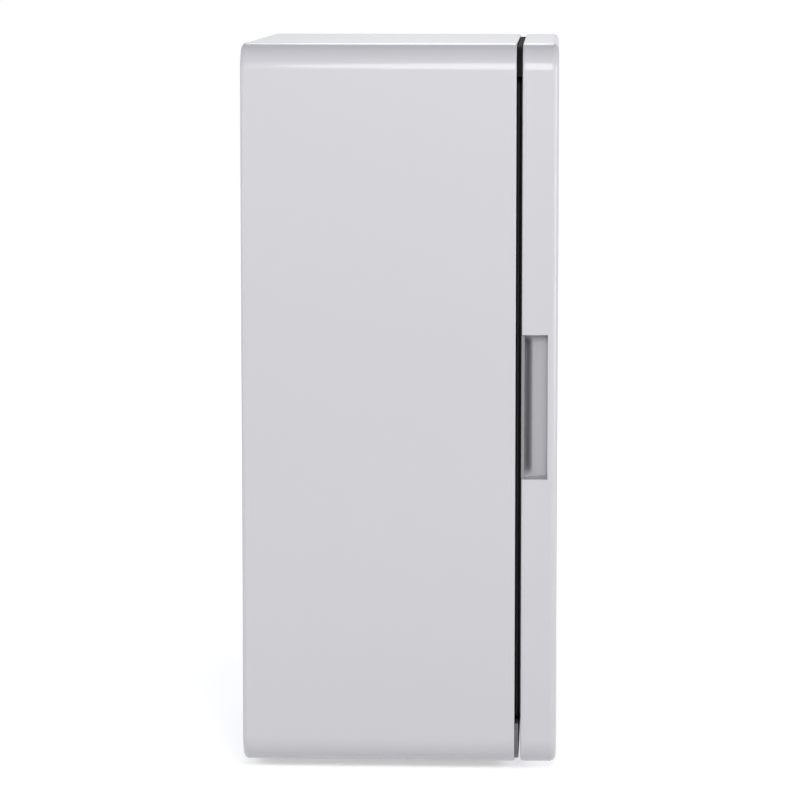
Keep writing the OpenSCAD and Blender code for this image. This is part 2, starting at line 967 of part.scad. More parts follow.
module cold_air_cover() {
  color(LINER_WHITE)
    difference() {
      union() {
        difference() {
          slab(cold_cover_y, in_back_y)
            panel_outline(cold_cover_w, cold_cover_h, cold_cover_r, cooler_z);
          slab(cold_cover_y + cold_cover_t, in_back_y + CUT)
            panel_outline(cold_cover_w - 2 * cold_cover_t, cold_cover_h - 2 * cold_cover_t,
              cold_cover_r - cold_cover_t, cooler_z);
        }
        at_corners(cold_hole_pitch / 2, cold_hole_pitch / 2, cooler_z)
          bar_y(0, 0, cold_cover_y + cold_cover_t / 2, cold_fan_y, fan_post_r);
        at_cold_cover_corners()
          bar_y(0, 0, cold_cover_y + cold_cover_t / 2, in_back_y, cold_post_r);
      }
      for (k = [-4:4])
        box([-cold_slot_x, cold_cover_y - CUT, cooler_z + k * slot_pitch - cold_slot_h / 2],
          [cold_slot_x, cold_cover_y + cold_cover_t + CUT, cooler_z + k * slot_pitch + cold_slot_h / 2]);
      for (k = [-2:2], side = [-1, 1])
        cold_side_slot(side, cooler_z + k * side_slot_pitch);
      cold_screw_shanks();
    }
}

module cold_side_slot(side, z) {
  box_side(side, cold_cover_w / 2 - 2 * cold_cover_t, cold_cover_w / 2 + CUT, cold_fan_y + 4, in_back_y - 8,
    z - side_slot_h / 2, z + side_slot_h / 2);
}

module cold_screw_shanks() {
  at_cold_cover_corners() {
    bar_y(0, 0, cold_cover_y - CUT, in_back_y + CUT, cold_screw_r);
    bar_y(0, 0, cold_cover_y - CUT, cold_cover_y + cold_head_t + 0.1, cold_head_r + 0.2);
  }
}

module cold_cover_screws() {
  color(STEEL)
    at_cold_cover_corners() {
      bar_y(0, 0, cold_cover_y + 0.1, cold_cover_y + cold_head_t + 0.1, cold_head_r);
      bar_y(0, 0, cold_cover_y + cold_head_t / 2, in_back_y - 1, cold_screw_r);
    }
}

// ---------------------------------------------------------------- electrics

module power_supply() {
  face_y = hot_base_y + supply_d;
  color(STEEL)
    difference() {
      box([supply_x0, hot_base_y, supply_z - supply_h / 2],
        [supply_x0 + supply_w, face_y, supply_z + supply_h / 2]);
      for (k = [0:vents - 1])
        translate([supply_x0 + 8 + k * vent_pitch, 0, supply_z])
          box([0, face_y - vent_sink, -vent_h / 2], [vent_w, face_y + CUT, vent_h / 2]);
    }
}

module control_board() {
  board_y = hot_base_y + board_stand;
  color(BOARD_GREEN) {
    translate([board_x, 0, board_z])
      box([-board_w / 2, board_y, -board_h / 2], [board_w / 2, board_y + board_t, board_h / 2]);
    translate([board_x, 0, 0])
      at_corners(board_w / 2 - board_leg_in, board_h / 2 - board_leg_in, board_z)
        bar_y(0, 0, hot_base_y, board_y + board_t / 2, board_leg_r);
  }
  color(BLACK)
    translate([board_x, board_y + board_t / 2, board_z])
      board_parts();
}

// Relay, connector strip and two capacitors, from the middle of the board
module board_parts() {
  relay = [24, 10, 22];
  strip = [36, 8, 10];
  capacitor_l = 17;
  capacitor_r = 6;
  translate([-38, 0, -6])
    cube(relay);
  translate([4, 0, -20])
    cube(strip);
  for (x = [12, 30])
    bar_y(x, 10, 0, capacitor_l, capacitor_r);
}

module power_inlet() {
  color(BLACK) {
    difference() {
      union() {
        inlet_block(inlet_x, inlet_w, inlet_h, back_y - inlet_d, back_y);
        panel_lugs(inlet_x, inlet_w);
      }
      inlet_block(inlet_x, socket_w, socket_h, back_y - socket_d, back_y + CUT);
    }
    for (p = [[-7, -2], [0, 3], [7, -2]])
      translate([inlet_x + p[0], 0, inlet_z + p[1]])
        box([-prong_w / 2, back_y - socket_d - CUT, -prong_h / 2], [prong_w / 2, back_y - 2, prong_h / 2]);
  }
}

// Round bar along X across the switch, at a distance from the back
module rocker_bar(y, r, w) {
  translate([rocker_x - w / 2, y, inlet_z])
    rotate([0, 90, 0])
      cylinder(r = r, h = w);
}

module switch_bezel() {
  color(BLACK)
    difference() {
      union() {
        inlet_block(rocker_x, bezel_w, inlet_h, back_y - bezel_d, back_y);
        panel_lugs(rocker_x, bezel_w);
      }
      inlet_block(rocker_x, bezel_w - 2 * bezel_wall, inlet_h - 2 * bezel_wall + 0.2,
        back_y - rocker_room, back_y + CUT);
      rocker_bar(rocker_axis_y, rocker_axle_r + FIT, bezel_w + 2 * CUT);
    }
}

module power_rocker() {
  color([0.65, 0.10, 0.08]) {
    difference() {
      intersection() {
        inlet_block(rocker_x, rocker_w, rocker_h, back_y - rocker_room + 2, rocker_face_y);
        rocker_bar(rocker_axis_y, rocker_bow_r, rocker_w + 2 * CUT);
      }
      rocker_bar(rocker_dish_y, rocker_dish_r, rocker_w + 2 * CUT);
    }
    rocker_bar(rocker_axis_y, rocker_axle_r, bezel_w - 0.8);
  }
}

module drain_tube() {
  tube_y0 = in_back_y - tube_in;
  tube_y1 = hot_base_y + tube_out;
  color(CLEAR)
    difference() {
      bar_y(0, tube_z, tube_y0, tube_y1, tube_r);
      bar_y(0, tube_z, tube_y0 - CUT, tube_y1 + CUT, tube_r - tube_t);
    }
}

module drip_cup() {
  color(LINER_WHITE)
    difference() {
      box([-cup_w / 2, hot_base_y, cup_top_z - cup_h], [cup_w / 2, hot_base_y + cup_d, cup_top_z]);
      box([cup_t - cup_w / 2, hot_base_y + cup_t, cup_top_z - cup_h + cup_t],
        [cup_w / 2 - cup_t, hot_base_y + cup_d - cup_t, cup_top_z + CUT]);
    }
}

// ---------------------------------------------------------------- control housing

module lens_window(z0, z1, in) {
  box([lens_x0 + in, control_y0 + lens_in + in, z0], [lens_x1 - in, control_y1 - lens_in - in, z1]);
}

module control_housing() {
  wall = control_t;
  color(LINER_WHITE)
    difference() {
      box([-control_w / 2, control_y0, control_z0], [control_w / 2, control_y1, in_z1]);
      box([wall - control_w / 2, control_y0 + wall, control_z0 + wall],
        [control_w / 2 - wall, control_y1 - wall, in_z1 + CUT]);
      bar_y(knob_x, knob_z, control_y0 - CUT, control_y0 + wall + CUT, bushing_r);
      lens_window(control_z0 - CUT, control_z0 + wall + CUT, 0);
    }
}

module thermostat() {
  body_y0 = control_y0 + control_t;
  color(STEEL)
    difference() {
      union() {
        box([knob_x - thermostat_s / 2, body_y0, knob_z - thermostat_s / 2],
          [knob_x + thermostat_s / 2, body_y0 + thermostat_d, knob_z + thermostat_s / 2]);
        bar_y(knob_x, knob_z, control_y0 - bushing_l, body_y0 + CUT, bushing_r);
      }
      bar_y(knob_x, knob_z, control_y0 - bushing_l - CUT, control_y0 + thermostat_d, shaft_r + FIT);
    }
}

module thermostat_knob() {
  face_y = control_y0 - knob_gap - knob_d;
  color(WHITE) {
    difference() {
      bar_y(knob_x, knob_z, face_y, control_y0 - knob_gap, knob_r);
      bar_y(knob_x, knob_z, control_y0 - bushing_l - CUT, control_y0, bushing_r + SLIP);
      for (k = [0:knob_grips - 1])
        translate([knob_x, 0, knob_z])
          rotate([0, k * 360 / knob_grips, 0])
            bar_y(knob_r + grip_out, 0, face_y - CUT, control_y0, grip_r);
    }
    bar_y(knob_x, knob_z, control_y0 - knob_d / 2, control_y0 + thermostat_d - 2, shaft_r);
    translate([knob_x, 0, knob_z])
      box([-ridge_w / 2, face_y + knob_gap - ridge_h, ridge_in - knob_r],
        [ridge_w / 2, face_y + knob_gap, knob_r - ridge_in]);
  }
}

module light_board() {
  mid_y = (control_y0 + control_y1) / 2;
  leg_y = control_y1 - lamp_in;
  color(BOARD_GREEN) {
    box([lamp_x0, control_y0 + lamp_in, lamp_z], [lamp_x1, control_y1 - lamp_in, lamp_z + board_t]);
    for (k = [0:lamp_count - 1])
      translate([lamp_x0 + 6 + k * lamp_pitch, mid_y, lamp_z])
        box([0, -lamp_s / 2, -1], [lamp_s, lamp_s / 2, 0.5]);
    for (x = [lamp_x0 + lamp_s, lamp_x1 - lamp_s])
      box([x - 2, leg_y - 3, control_z0 + control_t], [x + 2, leg_y, lamp_z + 0.5]);
  }
}

module light_lens() {
  color(CLEAR) {
    lens_window(control_z0, control_z0 + lens_t, 0);
    lens_window(control_z0 - lens_t, control_z0 + lens_t / 2, lens_edge);
  }
}

// Sensor housing on the side wall, with slots in its face
module temperature_sensor() {
  x0 = -in_x;
  z0 = upper_shelf_z + 60;
  slot_in = 3;
  color(WHITE)
    difference() {
      box([x0, sensor_y, z0], [x0 + sensor_w, sensor_y + sensor_d, z0 + sensor_h]);
      for (k = [0:sensor_slots - 1])
        translate([x0 + sensor_w - sensor_gap, 0, z0 + 4 + 2 * k * sensor_slot_h])
          box([0, sensor_y + slot_in, 0], [sensor_gap + CUT, sensor_y + sensor_d - slot_in, sensor_slot_h]);
    }
}

module reed_block() {
  box([-reed_x, cabinet_front_y + reed_y, in_z1 + reed_above],
    [reed_x, cabinet_front_y + reed_y + reed_d, in_z1 + reed_above + reed_h]);
}

module reed_switch() {
  color(WHITE)
    reed_block();
}

// ---------------------------------------------------------------- hinges

module leaf(z) {
  difference() {
    union() {
      translate([hinge_x, hinge_y, z])
        cylinder(r = leaf_r, h = leaf_t);
      box([hinge_x - leaf_r, hinge_y, z], [hinge_x + leaf_r, cabinet_front_y + leaf_t, z + leaf_t]);
    }
    translate([hinge_x, hinge_y, z - CUT])
      cylinder(r = pin_r, h = leaf_t + 2 * CUT);
  }
}

// Plate behind the gap, between two heights
module bracket_plate(z0, z1, leaf_z) {
  plate_y1 = cabinet_front_y + leaf_t;
  box([bracket_x0, cabinet_front_y, z0], [bracket_x1 - bracket_end, plate_y1, z1]);
  box([hinge_x - leaf_r, cabinet_front_y, leaf_z], [bracket_x1, plate_y1, leaf_z + leaf_t]);
}

module upper_bracket_plate() {
  top = upper_leaf_z + leaf_t;
  bracket_plate(top - bracket_h, top, upper_leaf_z);
}

module lower_bracket_plate() {
  bracket_plate(lower_leaf_z, lower_leaf_z + bracket_h, lower_leaf_z);
}

module at_hinge_screws() {
  for (x = hinge_screw_x, z = [upper_leaf_z + leaf_t - bracket_h / 2, lower_leaf_z + bracket_h / 2])
    translate([bracket_x0 + x, 0, z])
      children();
}

module hinge_screw_shanks() {
  at_hinge_screws()
    bar_y(0, 0, cabinet_front_y + 1, cabinet_front_y + hinge_screw_l, hinge_screw_r);
}

module hinge_screws() {
  color(STEEL)
    difference() {
      at_hinge_screws()
        bar_y(0, 0, cabinet_front_y, cabinet_front_y + hinge_head_t, hinge_head_r);
      at_hinge_screws()
        translate([0, 2 * cabinet_front_y, 0])
          mirror([0, 1, 0])
            cross_recess(cabinet_front_y);
    }
  color(STEEL)
    hinge_screw_shanks();
}

module hinge_screw_through() {
  at_hinge_screws() {
    bar_y(0, 0, cabinet_front_y - CUT, cabinet_front_y + hinge_screw_l, hinge_screw_r);
    bar_y(0, 0, cabinet_front_y - CUT, cabinet_front_y + hinge_head_t, hinge_head_r);
  }
}

module upper_hinge_bracket() {
  color(STEEL)
    difference() {
      union() {
        leaf(upper_leaf_z);
        upper_bracket_plate();
      }
      hinge_screw_through();
    }
}

module lower_hinge_bracket() {
  color(STEEL)
    difference() {
      union() {
        leaf(lower_leaf_z);
        lower_bracket_plate();
      }
      hinge_screw_through();
    }
}

module hinge_pins() {
  color(STEEL) {
    translate([hinge_x, hinge_y, upper_leaf_z - pin_l])
      cylinder(r = pin_r, h = pin_l + leaf_t);
    translate([hinge_x, hinge_y, lower_leaf_z])
      cylinder(r = pin_r, h = pin_l + leaf_t);
  }
}

// ---------------------------------------------------------------- shelves and drawer

module glass_plate(z) {
  side = in_x - shelf_side - glass_in;
  z0 = z + glass_lift;
  box([-side, shelf_front_y + glass_in, z0], [side, shelf_back_y - glass_in, z0 + glass_t]);
}

module glass_trim(z) {
  side = in_x - shelf_side;
  top = z + glass_lift + glass_t;
  lap = glass_in + trim_lap;
  difference() {
    union() {
      box([-side, shelf_front_y, z + trim_lift], [side, shelf_back_y, top]);
      box([rib_w - side, shelf_front_y, top - trim_front_h],
        [side - rib_w, shelf_front_y + trim_front_t, top]);
    }
    glass_plate(z);
    box([lap - side, shelf_front_y + lap, z - trim_front_h], [side - lap, shelf_back_y - lap, top + CUT]);
  }
}

module shelf_glass_upper() {
  color(CLEAR)
    glass_plate(upper_shelf_z);
}

module shelf_trim_upper() {
  color(WHITE)
    glass_trim(upper_shelf_z);
}

module shelf_glass_lower() {
  color(CLEAR)
    glass_plate(lower_shelf_z);
}

module shelf_trim_lower() {
  color(WHITE)
    glass_trim(lower_shelf_z);
}

module crisper_cover_glass() {
  color(CLEAR)
    glass_plate(cover_z);
}

module crisper_cover_trim() {
  color(WHITE)
    glass_trim(cover_z);
}

module crisper_drawer() {
  half = drawer_w / 2;
  front_y = shelf_front_y + 2;
  color(CLEAR)
    difference() {
      union() {
        box([-half, front_y, drawer_z0], [half, drawer_back_y, drawer_z1]);
        box([-half, shelf_front_y, drawer_z1 - drawer_grip_h], [half, shelf_front_y + 4, drawer_z1]);
      }
      box([drawer_t - half, front_y + drawer_t, drawer_z0 + drawer_t],
        [half - drawer_t, drawer_back_y - drawer_t, drawer_z1 + CUT]);
      box([drawer_grip_in - half, shelf_front_y - CUT, drawer_z1 - drawer_grip_h - CUT],
        [half - drawer_grip_in, front_y, drawer_z1 - 4]);
    }
}

// ---------------------------------------------------------------- door

module hinge_notches() {
  for (z = [upper_leaf_z, lower_leaf_z])
    box([hinge_x - leaf_r - notch_side, hinge_y - leaf_r - notch_front, z - notch_slack],
      [half_w + CUT, door_back_y + CUT, z + leaf_t + notch_slack]);
}

// Box of the finger pull's height, between two depths from the door's side
module pull_box(x0, x1, y0, y1, grow) {
  box([x0 - half_w, y0, pull_z - pull_h / 2 - grow], [x1 - half_w, y1, pull_z + pull_h / 2 + grow]);
}

module pull_window() {
  pull_box(-CUT, skin_t + CUT, door_back_y - pull_w, door_back_y + CUT, 0);
}

module door_shell() {
  color(SHELL_GREY)
    difference() {
      soft_body(shell_w, shell_h, corner_r, door_front_y, door_back_y, door_edge_r, door_back_edge_r);
      slab(door_front_y + skin_t, door_back_y + CUT)
        cavity_outline();
      hinge_notches();
      pull_window();
    }
}

module cup_block() {
  front_y = door_back_y - pull_w - pull_wall;
  pull_box(skin_t, pull_depth + pull_wall, front_y, door_back_y - door_liner_t, pull_wall);
}

// Room for the fingers: a flat floor, a lip along the back and a trough behind the lip
module pull_space() {
  front_y = door_back_y - pull_w;
  pull_box(-CUT, pull_floor, front_y, door_back_y - door_liner_t, 0);
  pull_box(-CUT, pull_lip, front_y, door_back_y + CUT, 0);
  intersection() {
    translate([pull_floor - half_w, trough_y, pull_z - pull_h / 2])
      cylinder(r = pull_trough_r, h = pull_h);
    pull_box(0, pull_depth, front_y, trough_back_y, 0);
  }
}

module handle_cup() {
  color(PULL_GREY)
    difference() {
      cup_block();
      pull_space();
    }
}

module dyke_outline(inset) {
  middle = (dyke_z0 + dyke_z1) / 2;
  panel_outline(2 * (dyke_x - inset), dyke_z1 - dyke_z0 - 2 * inset, dyke_r - inset / 2, middle);
}

module dyke_ring(inset, y0, y1) {
  difference() {
    slab(y0, y1)
      dyke_outline(inset);
    slab(y0 - CUT, y1 + CUT)
      dyke_outline(dyke_w - inset);
  }
}

module bin_lugs() {
  inner = dyke_x - dyke_w;
  for (top = [bin_low_z + bin_low_h, bin_mid_z + bin_h, bin_up_z + bin_h], side = [-1, 1])
    box_side(side, inner - lug_t, inner + 1, door_back_y + lug_y, door_back_y + lug_y + lug_d,
      top - lug_below - lug_h, top - lug_below);
}

module door_liner() {
  color(LINER_WHITE)
    difference() {
      union() {
        slab(door_back_y - door_liner_t, door_back_y)
          cavity_outline();
        dyke_ring(0, door_back_y - 1, door_back_y + dyke_d);
        bin_lugs();
      }
      dyke_ring(liner_t, door_back_y - door_liner_t - CUT, door_back_y + dyke_d - liner_t);
      hinge_notches();
      pull_space();
    }
}

module bush_block(z0) {
  box([hinge_x - block_w / 2 - block_side, hinge_y - block_w / 2, z0],
    [half_w - skin_t - block_play, hinge_y + block_w / 2, z0 + block_h]);
}

module door_insulation() {
  color(FOAM)
    difference() {
      union() {
        slab(door_front_y + skin_t, door_back_y - door_liner_t)
          cavity_outline();
        dyke_ring(liner_t, door_back_y - door_liner_t - 1, door_back_y + dyke_d - liner_t);
      }
      hinge_notches();
      cup_block();
      pull_window();
      bush_block(upper_leaf_z - notch_slack - block_h);
      bush_block(lower_leaf_z + leaf_t + notch_slack);
      magnet_block();
    }
}

module magnet_block() {
  magnet_y1 = door_back_y - door_liner_t;
  box([-magnet_x, magnet_y1 - magnet_d, magnet_z], [magnet_x, magnet_y1, magnet_z + magnet_h]);
}

module door_magnet() {
  color(STEEL)
    magnet_block();
}

// Flat ring of the gasket's outline, shrunk all round, with a width of its own
module gasket_ring(shrink, w) {
  x = gasket_x - shrink;
  h = gasket_z1 - gasket_z0 - 2 * shrink;
  middle = (gasket_z0 + gasket_z1) / 2;
  difference() {
    panel_outline(2 * x, h, gasket_r, middle);
    panel_outline(2 * (x - w), h - 2 * w, gasket_r - 4, middle);
  }
}

module door_gasket() {
  over = 2;
  color(BLACK)
    difference() {
      slab(door_back_y, cabinet_front_y - gasket_rest)
        gasket_ring(0, gasket_w);
      slab(door_back_y + groove_y, door_back_y + groove_y + groove_w)
        difference() {
          gasket_ring(-over, gasket_w + over);
          gasket_ring(groove_in, gasket_w - 2 * groove_in);
        }
    }
}

module upper_door_bush() {
  z0 = upper_leaf_z - notch_slack - block_h;
  color(WHITE)
    difference() {
      bush_block(z0);
      translate([hinge_x, hinge_y, z0 + bush_end])
        cylinder(r = pin_r + FIT, h = block_h + CUT);
    }
}

module lower_door_bush() {
  z0 = lower_leaf_z + leaf_t + notch_slack;
  color(WHITE)
    difference() {
      bush_block(z0);
      translate([hinge_x, hinge_y, z0 - CUT])
        cylinder(r = pin_r + FIT, h = block_h + CUT - bush_end);
    }
}

// Open tray that hangs on two lugs of the door liner
module door_bin(z0, h) {
  y0 = door_back_y + SLIP;
  y1 = bin_front_y;
  ear_z0 = z0 + h - lug_below + ear_play;
  color(CLEAR) {
    difference() {
      box([-bin_x, y0, z0], [bin_x, y1, z0 + h]);
      box([bin_t - bin_x, y0 + bin_t, z0 + bin_t], [bin_x - bin_t, y1 - bin_t, z0 + h + CUT]);
      box([-bin_x - CUT, y0 - CUT, z0 + h * bin_back_cut], [bin_x + CUT, y0 + bin_back_t, z0 + h + CUT]);
    }
    for (side = [-1, 1])
      box_side(side, bin_x - 1, dyke_x - dyke_w - SLIP, door_back_y + ear_y, door_back_y + ear_y + ear_d,
        ear_z0, ear_z0 + ear_t - ear_play);
  }
}

module door_bin_upper() {
  door_bin(bin_up_z, bin_h);
}

module door_bin_middle() {
  door_bin(bin_mid_z, bin_h);
}

module door_bin_lower() {
  door_bin(bin_low_z, bin_low_h);
}

outer_shell();
base_plate();
feet();
foot_screws();
front_frame();
upper_gap_trim();
lower_gap_plate();
cabinet_insulation();
inner_liner();
service_bay();
rear_cover();
rear_cover_screws();
hot_sink();
thermoelectric_module();
cold_block();
cold_sink();
sink_screws();
hot_fan_housing();
hot_fan_rotor();
hot_fan_screws();
cold_fan_housing();
cold_fan_rotor();
cold_air_cover();
cold_cover_screws();
power_supply();
control_board();
power_inlet();
switch_bezel();
power_rocker();
drain_tube();
drip_cup();
control_housing();
thermostat();
thermostat_knob();
light_board();
light_lens();
temperature_sensor();
reed_switch();
upper_hinge_bracket();
lower_hinge_bracket();
hinge_pins();
hinge_screws();
shelf_glass_upper();
shelf_trim_upper();
shelf_glass_lower();
shelf_trim_lower();
crisper_cover_glass();
crisper_cover_trim();
crisper_drawer();
door_shell();
door_liner();
door_insulation();
door_gasket();
handle_cup();
door_magnet();
upper_door_bush();
lower_door_bush();
door_bin_upper();
door_bin_middle();
door_bin_lower();
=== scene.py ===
"""Looks of the mini fridge: smooth skins, soft edges, finishes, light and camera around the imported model."""

import json
import math

import bmesh
import bpy
from mathutils import Matrix, Vector


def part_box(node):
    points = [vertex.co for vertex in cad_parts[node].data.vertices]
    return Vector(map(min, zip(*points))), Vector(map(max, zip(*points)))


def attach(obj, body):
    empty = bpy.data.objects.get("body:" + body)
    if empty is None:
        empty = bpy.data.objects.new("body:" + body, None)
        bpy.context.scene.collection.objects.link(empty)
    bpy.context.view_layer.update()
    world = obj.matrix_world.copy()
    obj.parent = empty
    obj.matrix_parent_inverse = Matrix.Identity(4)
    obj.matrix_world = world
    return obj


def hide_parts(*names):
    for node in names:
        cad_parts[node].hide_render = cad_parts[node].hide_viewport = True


MM = 0.001


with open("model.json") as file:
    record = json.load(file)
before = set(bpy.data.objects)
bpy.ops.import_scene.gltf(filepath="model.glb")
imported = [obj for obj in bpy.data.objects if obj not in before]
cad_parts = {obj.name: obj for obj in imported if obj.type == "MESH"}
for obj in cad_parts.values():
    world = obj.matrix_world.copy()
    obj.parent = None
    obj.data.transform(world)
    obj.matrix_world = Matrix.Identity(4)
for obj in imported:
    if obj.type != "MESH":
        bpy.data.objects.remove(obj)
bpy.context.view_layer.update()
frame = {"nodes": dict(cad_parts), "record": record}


# ---- shader expressions


class Value:
    """A node's output that can stand in a Python expression."""

    def __init__(self, tree, socket):
        self.tree = tree
        self.socket = socket

    def combined(self, operation, first, second):
        node = self.tree.nodes.new("ShaderNodeMath")
        node.operation = operation
        for place, term in enumerate((first, second)):
            if isinstance(term, Value):
                self.tree.links.new(term.socket, node.inputs[place])
            else:
                node.inputs[place].default_value = term
        return Value(self.tree, node.outputs[0])

    def __add__(self, other):
        return self.combined("ADD", self, other)

    def __radd__(self, other):
        return self.combined("ADD", other, self)

    def __sub__(self, other):
        return self.combined("SUBTRACT", self, other)

    def __mul__(self, other):
        return self.combined("MULTIPLY", self, other)

    def __rmul__(self, other):
        return self.combined("MULTIPLY", other, self)

    def __truediv__(self, other):
        return self.combined("DIVIDE", self, other)

    def above(self, level):
        return self.combined("GREATER_THAN", self, level)


class Nodes:
    """A node tree that grows by one method."""

    def node(self, kind, settings=None, sockets=None, output=0):
        made = self.tree.nodes.new(kind)
        for key, setting in (settings or {}).items():
            setattr(made, key, setting)
        for key, term in (sockets or {}).items():
            self.feed(made.inputs[key], term)
        return Value(self.tree, made.outputs[output])

    def feed(self, socket, term):
        """Sets a socket or links it. A list gives one socket several links."""
        for part in term if isinstance(term, list) else [term]:
            if isinstance(part, Value):
                self.tree.links.new(part.socket, socket)
            else:
                socket.default_value = part


class Finish(Nodes):
    """A material around one Principled shader."""

    def __init__(self, name):
        self.material = bpy.data.materials.new(name)
        self.material.use_nodes = True
        self.tree = self.material.node_tree
        self.shader = self.tree.nodes["Principled BSDF"]

    def place(self):
        return self.node("ShaderNodeTexCoord", output="Object")

    def stretched(self, scale):
        """Object coordinates scaled apart along X, Y and Z."""
        return self.node("ShaderNodeMapping", sockets={"Vector": self.place(), "Scale": scale})

    def noise(self, scale, detail=2.0, vector=None):
        sockets = {"Vector": vector or self.place(), "Scale": scale, "Detail": detail}
        return self.node("ShaderNodeTexNoise", sockets=sockets)

    def blend(self, factor, first, second):
        node = self.tree.nodes.new("ShaderNodeMix")
        node.data_type = "RGBA"
        for key, term in ((0, factor), (6, first), (7, second)):
            self.feed(node.inputs[key], term)
        return Value(self.tree, node.outputs[2])

    def bump(self, height, distance):
        sockets = {"Height": height, "Distance": distance, "Strength": 1.0}
        return self.node("ShaderNodeBump", sockets=sockets)

    def set(self, **sockets):
        for key, term in sockets.items():
            self.feed(self.shader.inputs[key.replace("_", " ").title().replace("Ior", "IOR")], term)
        return self


def shade(value, factor):
    """A colour made darker or lighter, as a socket default."""
    return (*[min(1.0, part * factor) for part in value[:3]], 1.0)


def speckled_colour(finish, colour, scale, spread):
    """The colour with a slow, faint variation."""
    return finish.blend(finish.noise(scale), shade(colour, 1 - spread), shade(colour, 1 + spread))


# ---- finishes

SHELL = (0.585, 0.583, 0.610)
LINER = (0.84, 0.845, 0.86)
PULL = (0.52, 0.52, 0.545)
NEAR_BLACK = (0.010, 0.009, 0.010)
PEBBLE = 2600.0


def moulded(name, colour, roughness, grain=PEBBLE, depth=6e-6, coat=0.0, spread=0.012):
    """Moulded plastic with a fine pebble in its surface."""
    finish = Finish(name)
    slow = finish.noise(9.0, 3.0)
    pebble = finish.noise(grain, 1.0)
    finish.set(
        base_color=speckled_colour(finish, colour, 6.0, spread),
        roughness=roughness + 0.05 * (slow - 0.5),
        normal=finish.bump(pebble, depth),
        coat_weight=coat,
        coat_roughness=0.12,
    )
    return finish.material


def shell_paint():
    """Satin lacquer over a smooth skin, with the faint waviness of a sprayed panel."""
    finish = Finish("satin_shell")
    waves = finish.noise(240.0, 2.0)
    wide = finish.noise(5.0, 2.0)
    dust = finish.noise(3200.0, 1.0).above(0.74)
    colour = speckled_colour(finish, SHELL, 3.0, 0.008)
    finish.set(
        base_color=finish.blend(dust * 0.04, colour, shade(SHELL, 0.8)),
        roughness=0.34 + 0.06 * wide,
        normal=finish.bump(waves, 6e-6),
        coat_weight=0.5,
        coat_roughness=0.08,
    )
    return finish.material


def pull_plastic():
    """Grey moulded plastic with painted shade: darker in the trough, on the lip and on the rim walls, where
    little light reaches.
    """
    finish = Finish("pull_plastic")
    # The recess attribute is an amount of painted shade set on the pull's points, not a depth.
    depth = finish.node("ShaderNodeAttribute", {"attribute_name": "recess"}, output="Fac")
    pebble = finish.noise(PEBBLE, 1.0)
    slow = finish.noise(9.0, 3.0)
    # Painted shade: the colour darkens towards 0.44 of the grey as the recess attribute rises.
    colour = finish.blend(depth, (*PULL, 1), shade(PULL, 0.44))
    finish.set(
        base_color=finish.blend(slow * 0.06, colour, shade(PULL, 0.8)),
        roughness=0.42 + 0.08 * slow + 0.2 * depth,
        normal=finish.bump(pebble, 6e-6),
    )
    return finish.material


def gap_black():
    """Dull black for the strips down in the gap."""
    finish = Finish("gap_black")
    dust = finish.noise(60.0, 4.0)
    finish.set(
        base_color=finish.blend(dust, (0.006, 0.0055, 0.006, 1), (0.011, 0.010, 0.011, 1)),
        roughness=0.75 + 0.1 * dust,
        specular_ior_level=0.15,
        normal=finish.bump(dust, 2e-5),
    )
    return finish.material


def rubber():
    finish = Finish("seal_rubber")
    fine = finish.noise(1800.0, 3.0)
    bloom = finish.noise(30.0, 3.0)
    finish.set(
        base_color=finish.blend(bloom * 0.5, (*NEAR_BLACK, 1), (0.028, 0.026, 0.027, 1)),
        roughness=0.62 + 0.12 * bloom,
        normal=finish.bump(fine, 1.2e-5),
    )
    return finish.material


def drawn_metal(name, colour, roughness, along=(1.0, 1.0, 60.0), depth=8e-6):
    """Metal with fine lines from rolling or extruding."""
    finish = Finish(name)
    lines = finish.noise(60.0, 3.0, vector=finish.stretched(along))
    smudge = finish.noise(14.0, 2.0)
    finish.set(
        base_color=finish.blend(lines, shade(colour, 0.86), shade(colour, 1.08)),
        metallic=1.0,
        roughness=roughness + 0.14 * (lines - 0.5) + 0.06 * smudge,
        normal=finish.bump(lines, depth),
    )
    return finish.material


def painted_plate():
    """Dark grey painted sheet with rub marks."""
    finish = Finish("painted_plate")
    streak = finish.noise(26.0, 4.0, vector=finish.stretched((1.0, 1.0, 8.0)))
    finish.set(
        base_color=finish.blend(streak, (0.115, 0.11, 0.115, 1), (0.185, 0.18, 0.185, 1)),
        roughness=0.42 + 0.16 * streak,
        normal=finish.bump(streak, 2e-5),
        metallic=0.25,
    )
    return finish.material


def clear(name, tint, roughness=0.04, through=1.0):
    """Clear sheet with faint handling marks."""
    finish = Finish(name)
    marks = finish.noise(18.0, 4.0)
    finish.set(
        base_color=finish.blend(marks, shade(tint, 0.97), shade(tint, 1.02)),
        roughness=roughness + 0.04 * marks,
        transmission_weight=through,
        ior=1.49,
    )
    return finish.material


def foam():
    finish = Finish("blown_foam")
    cell = finish.node("ShaderNodeTexVoronoi", sockets={"Vector": finish.place(), "Scale": 420.0})
    finish.set(
        base_color=finish.blend(cell, (0.72, 0.60, 0.30, 1), (0.86, 0.76, 0.46, 1)),
        roughness=0.9,
        normal=finish.bump(cell, 3e-4),
    )
    return finish.material


def circuit_board():
    finish = Finish("circuit_board")
    tracks = finish.node(
        "ShaderNodeTexBrick",
        sockets={"Vector": finish.stretched((1.0, 0.0, 1.0)), "Scale": 90.0, "Mortar Size": 0.06},
        output="Fac",
    )
    finish.set(
        base_color=finish.blend(tracks, (0.012, 0.10, 0.045, 1), (0.03, 0.20, 0.09, 1)),
        roughness=0.35 + 0.1 * tracks,
        normal=finish.bump(tracks, 2e-5),
    )
    return finish.material


def ceramic():
    finish = Finish("ceramic_plate")
    speck = finish.noise(900.0, 2.0)
    finish.set(
        base_color=finish.blend(speck, (0.80, 0.79, 0.76, 1), (0.88, 0.87, 0.85, 1)),
        roughness=0.55 + 0.1 * speck,
        normal=finish.bump(speck, 1e-5),
    )
    return finish.material


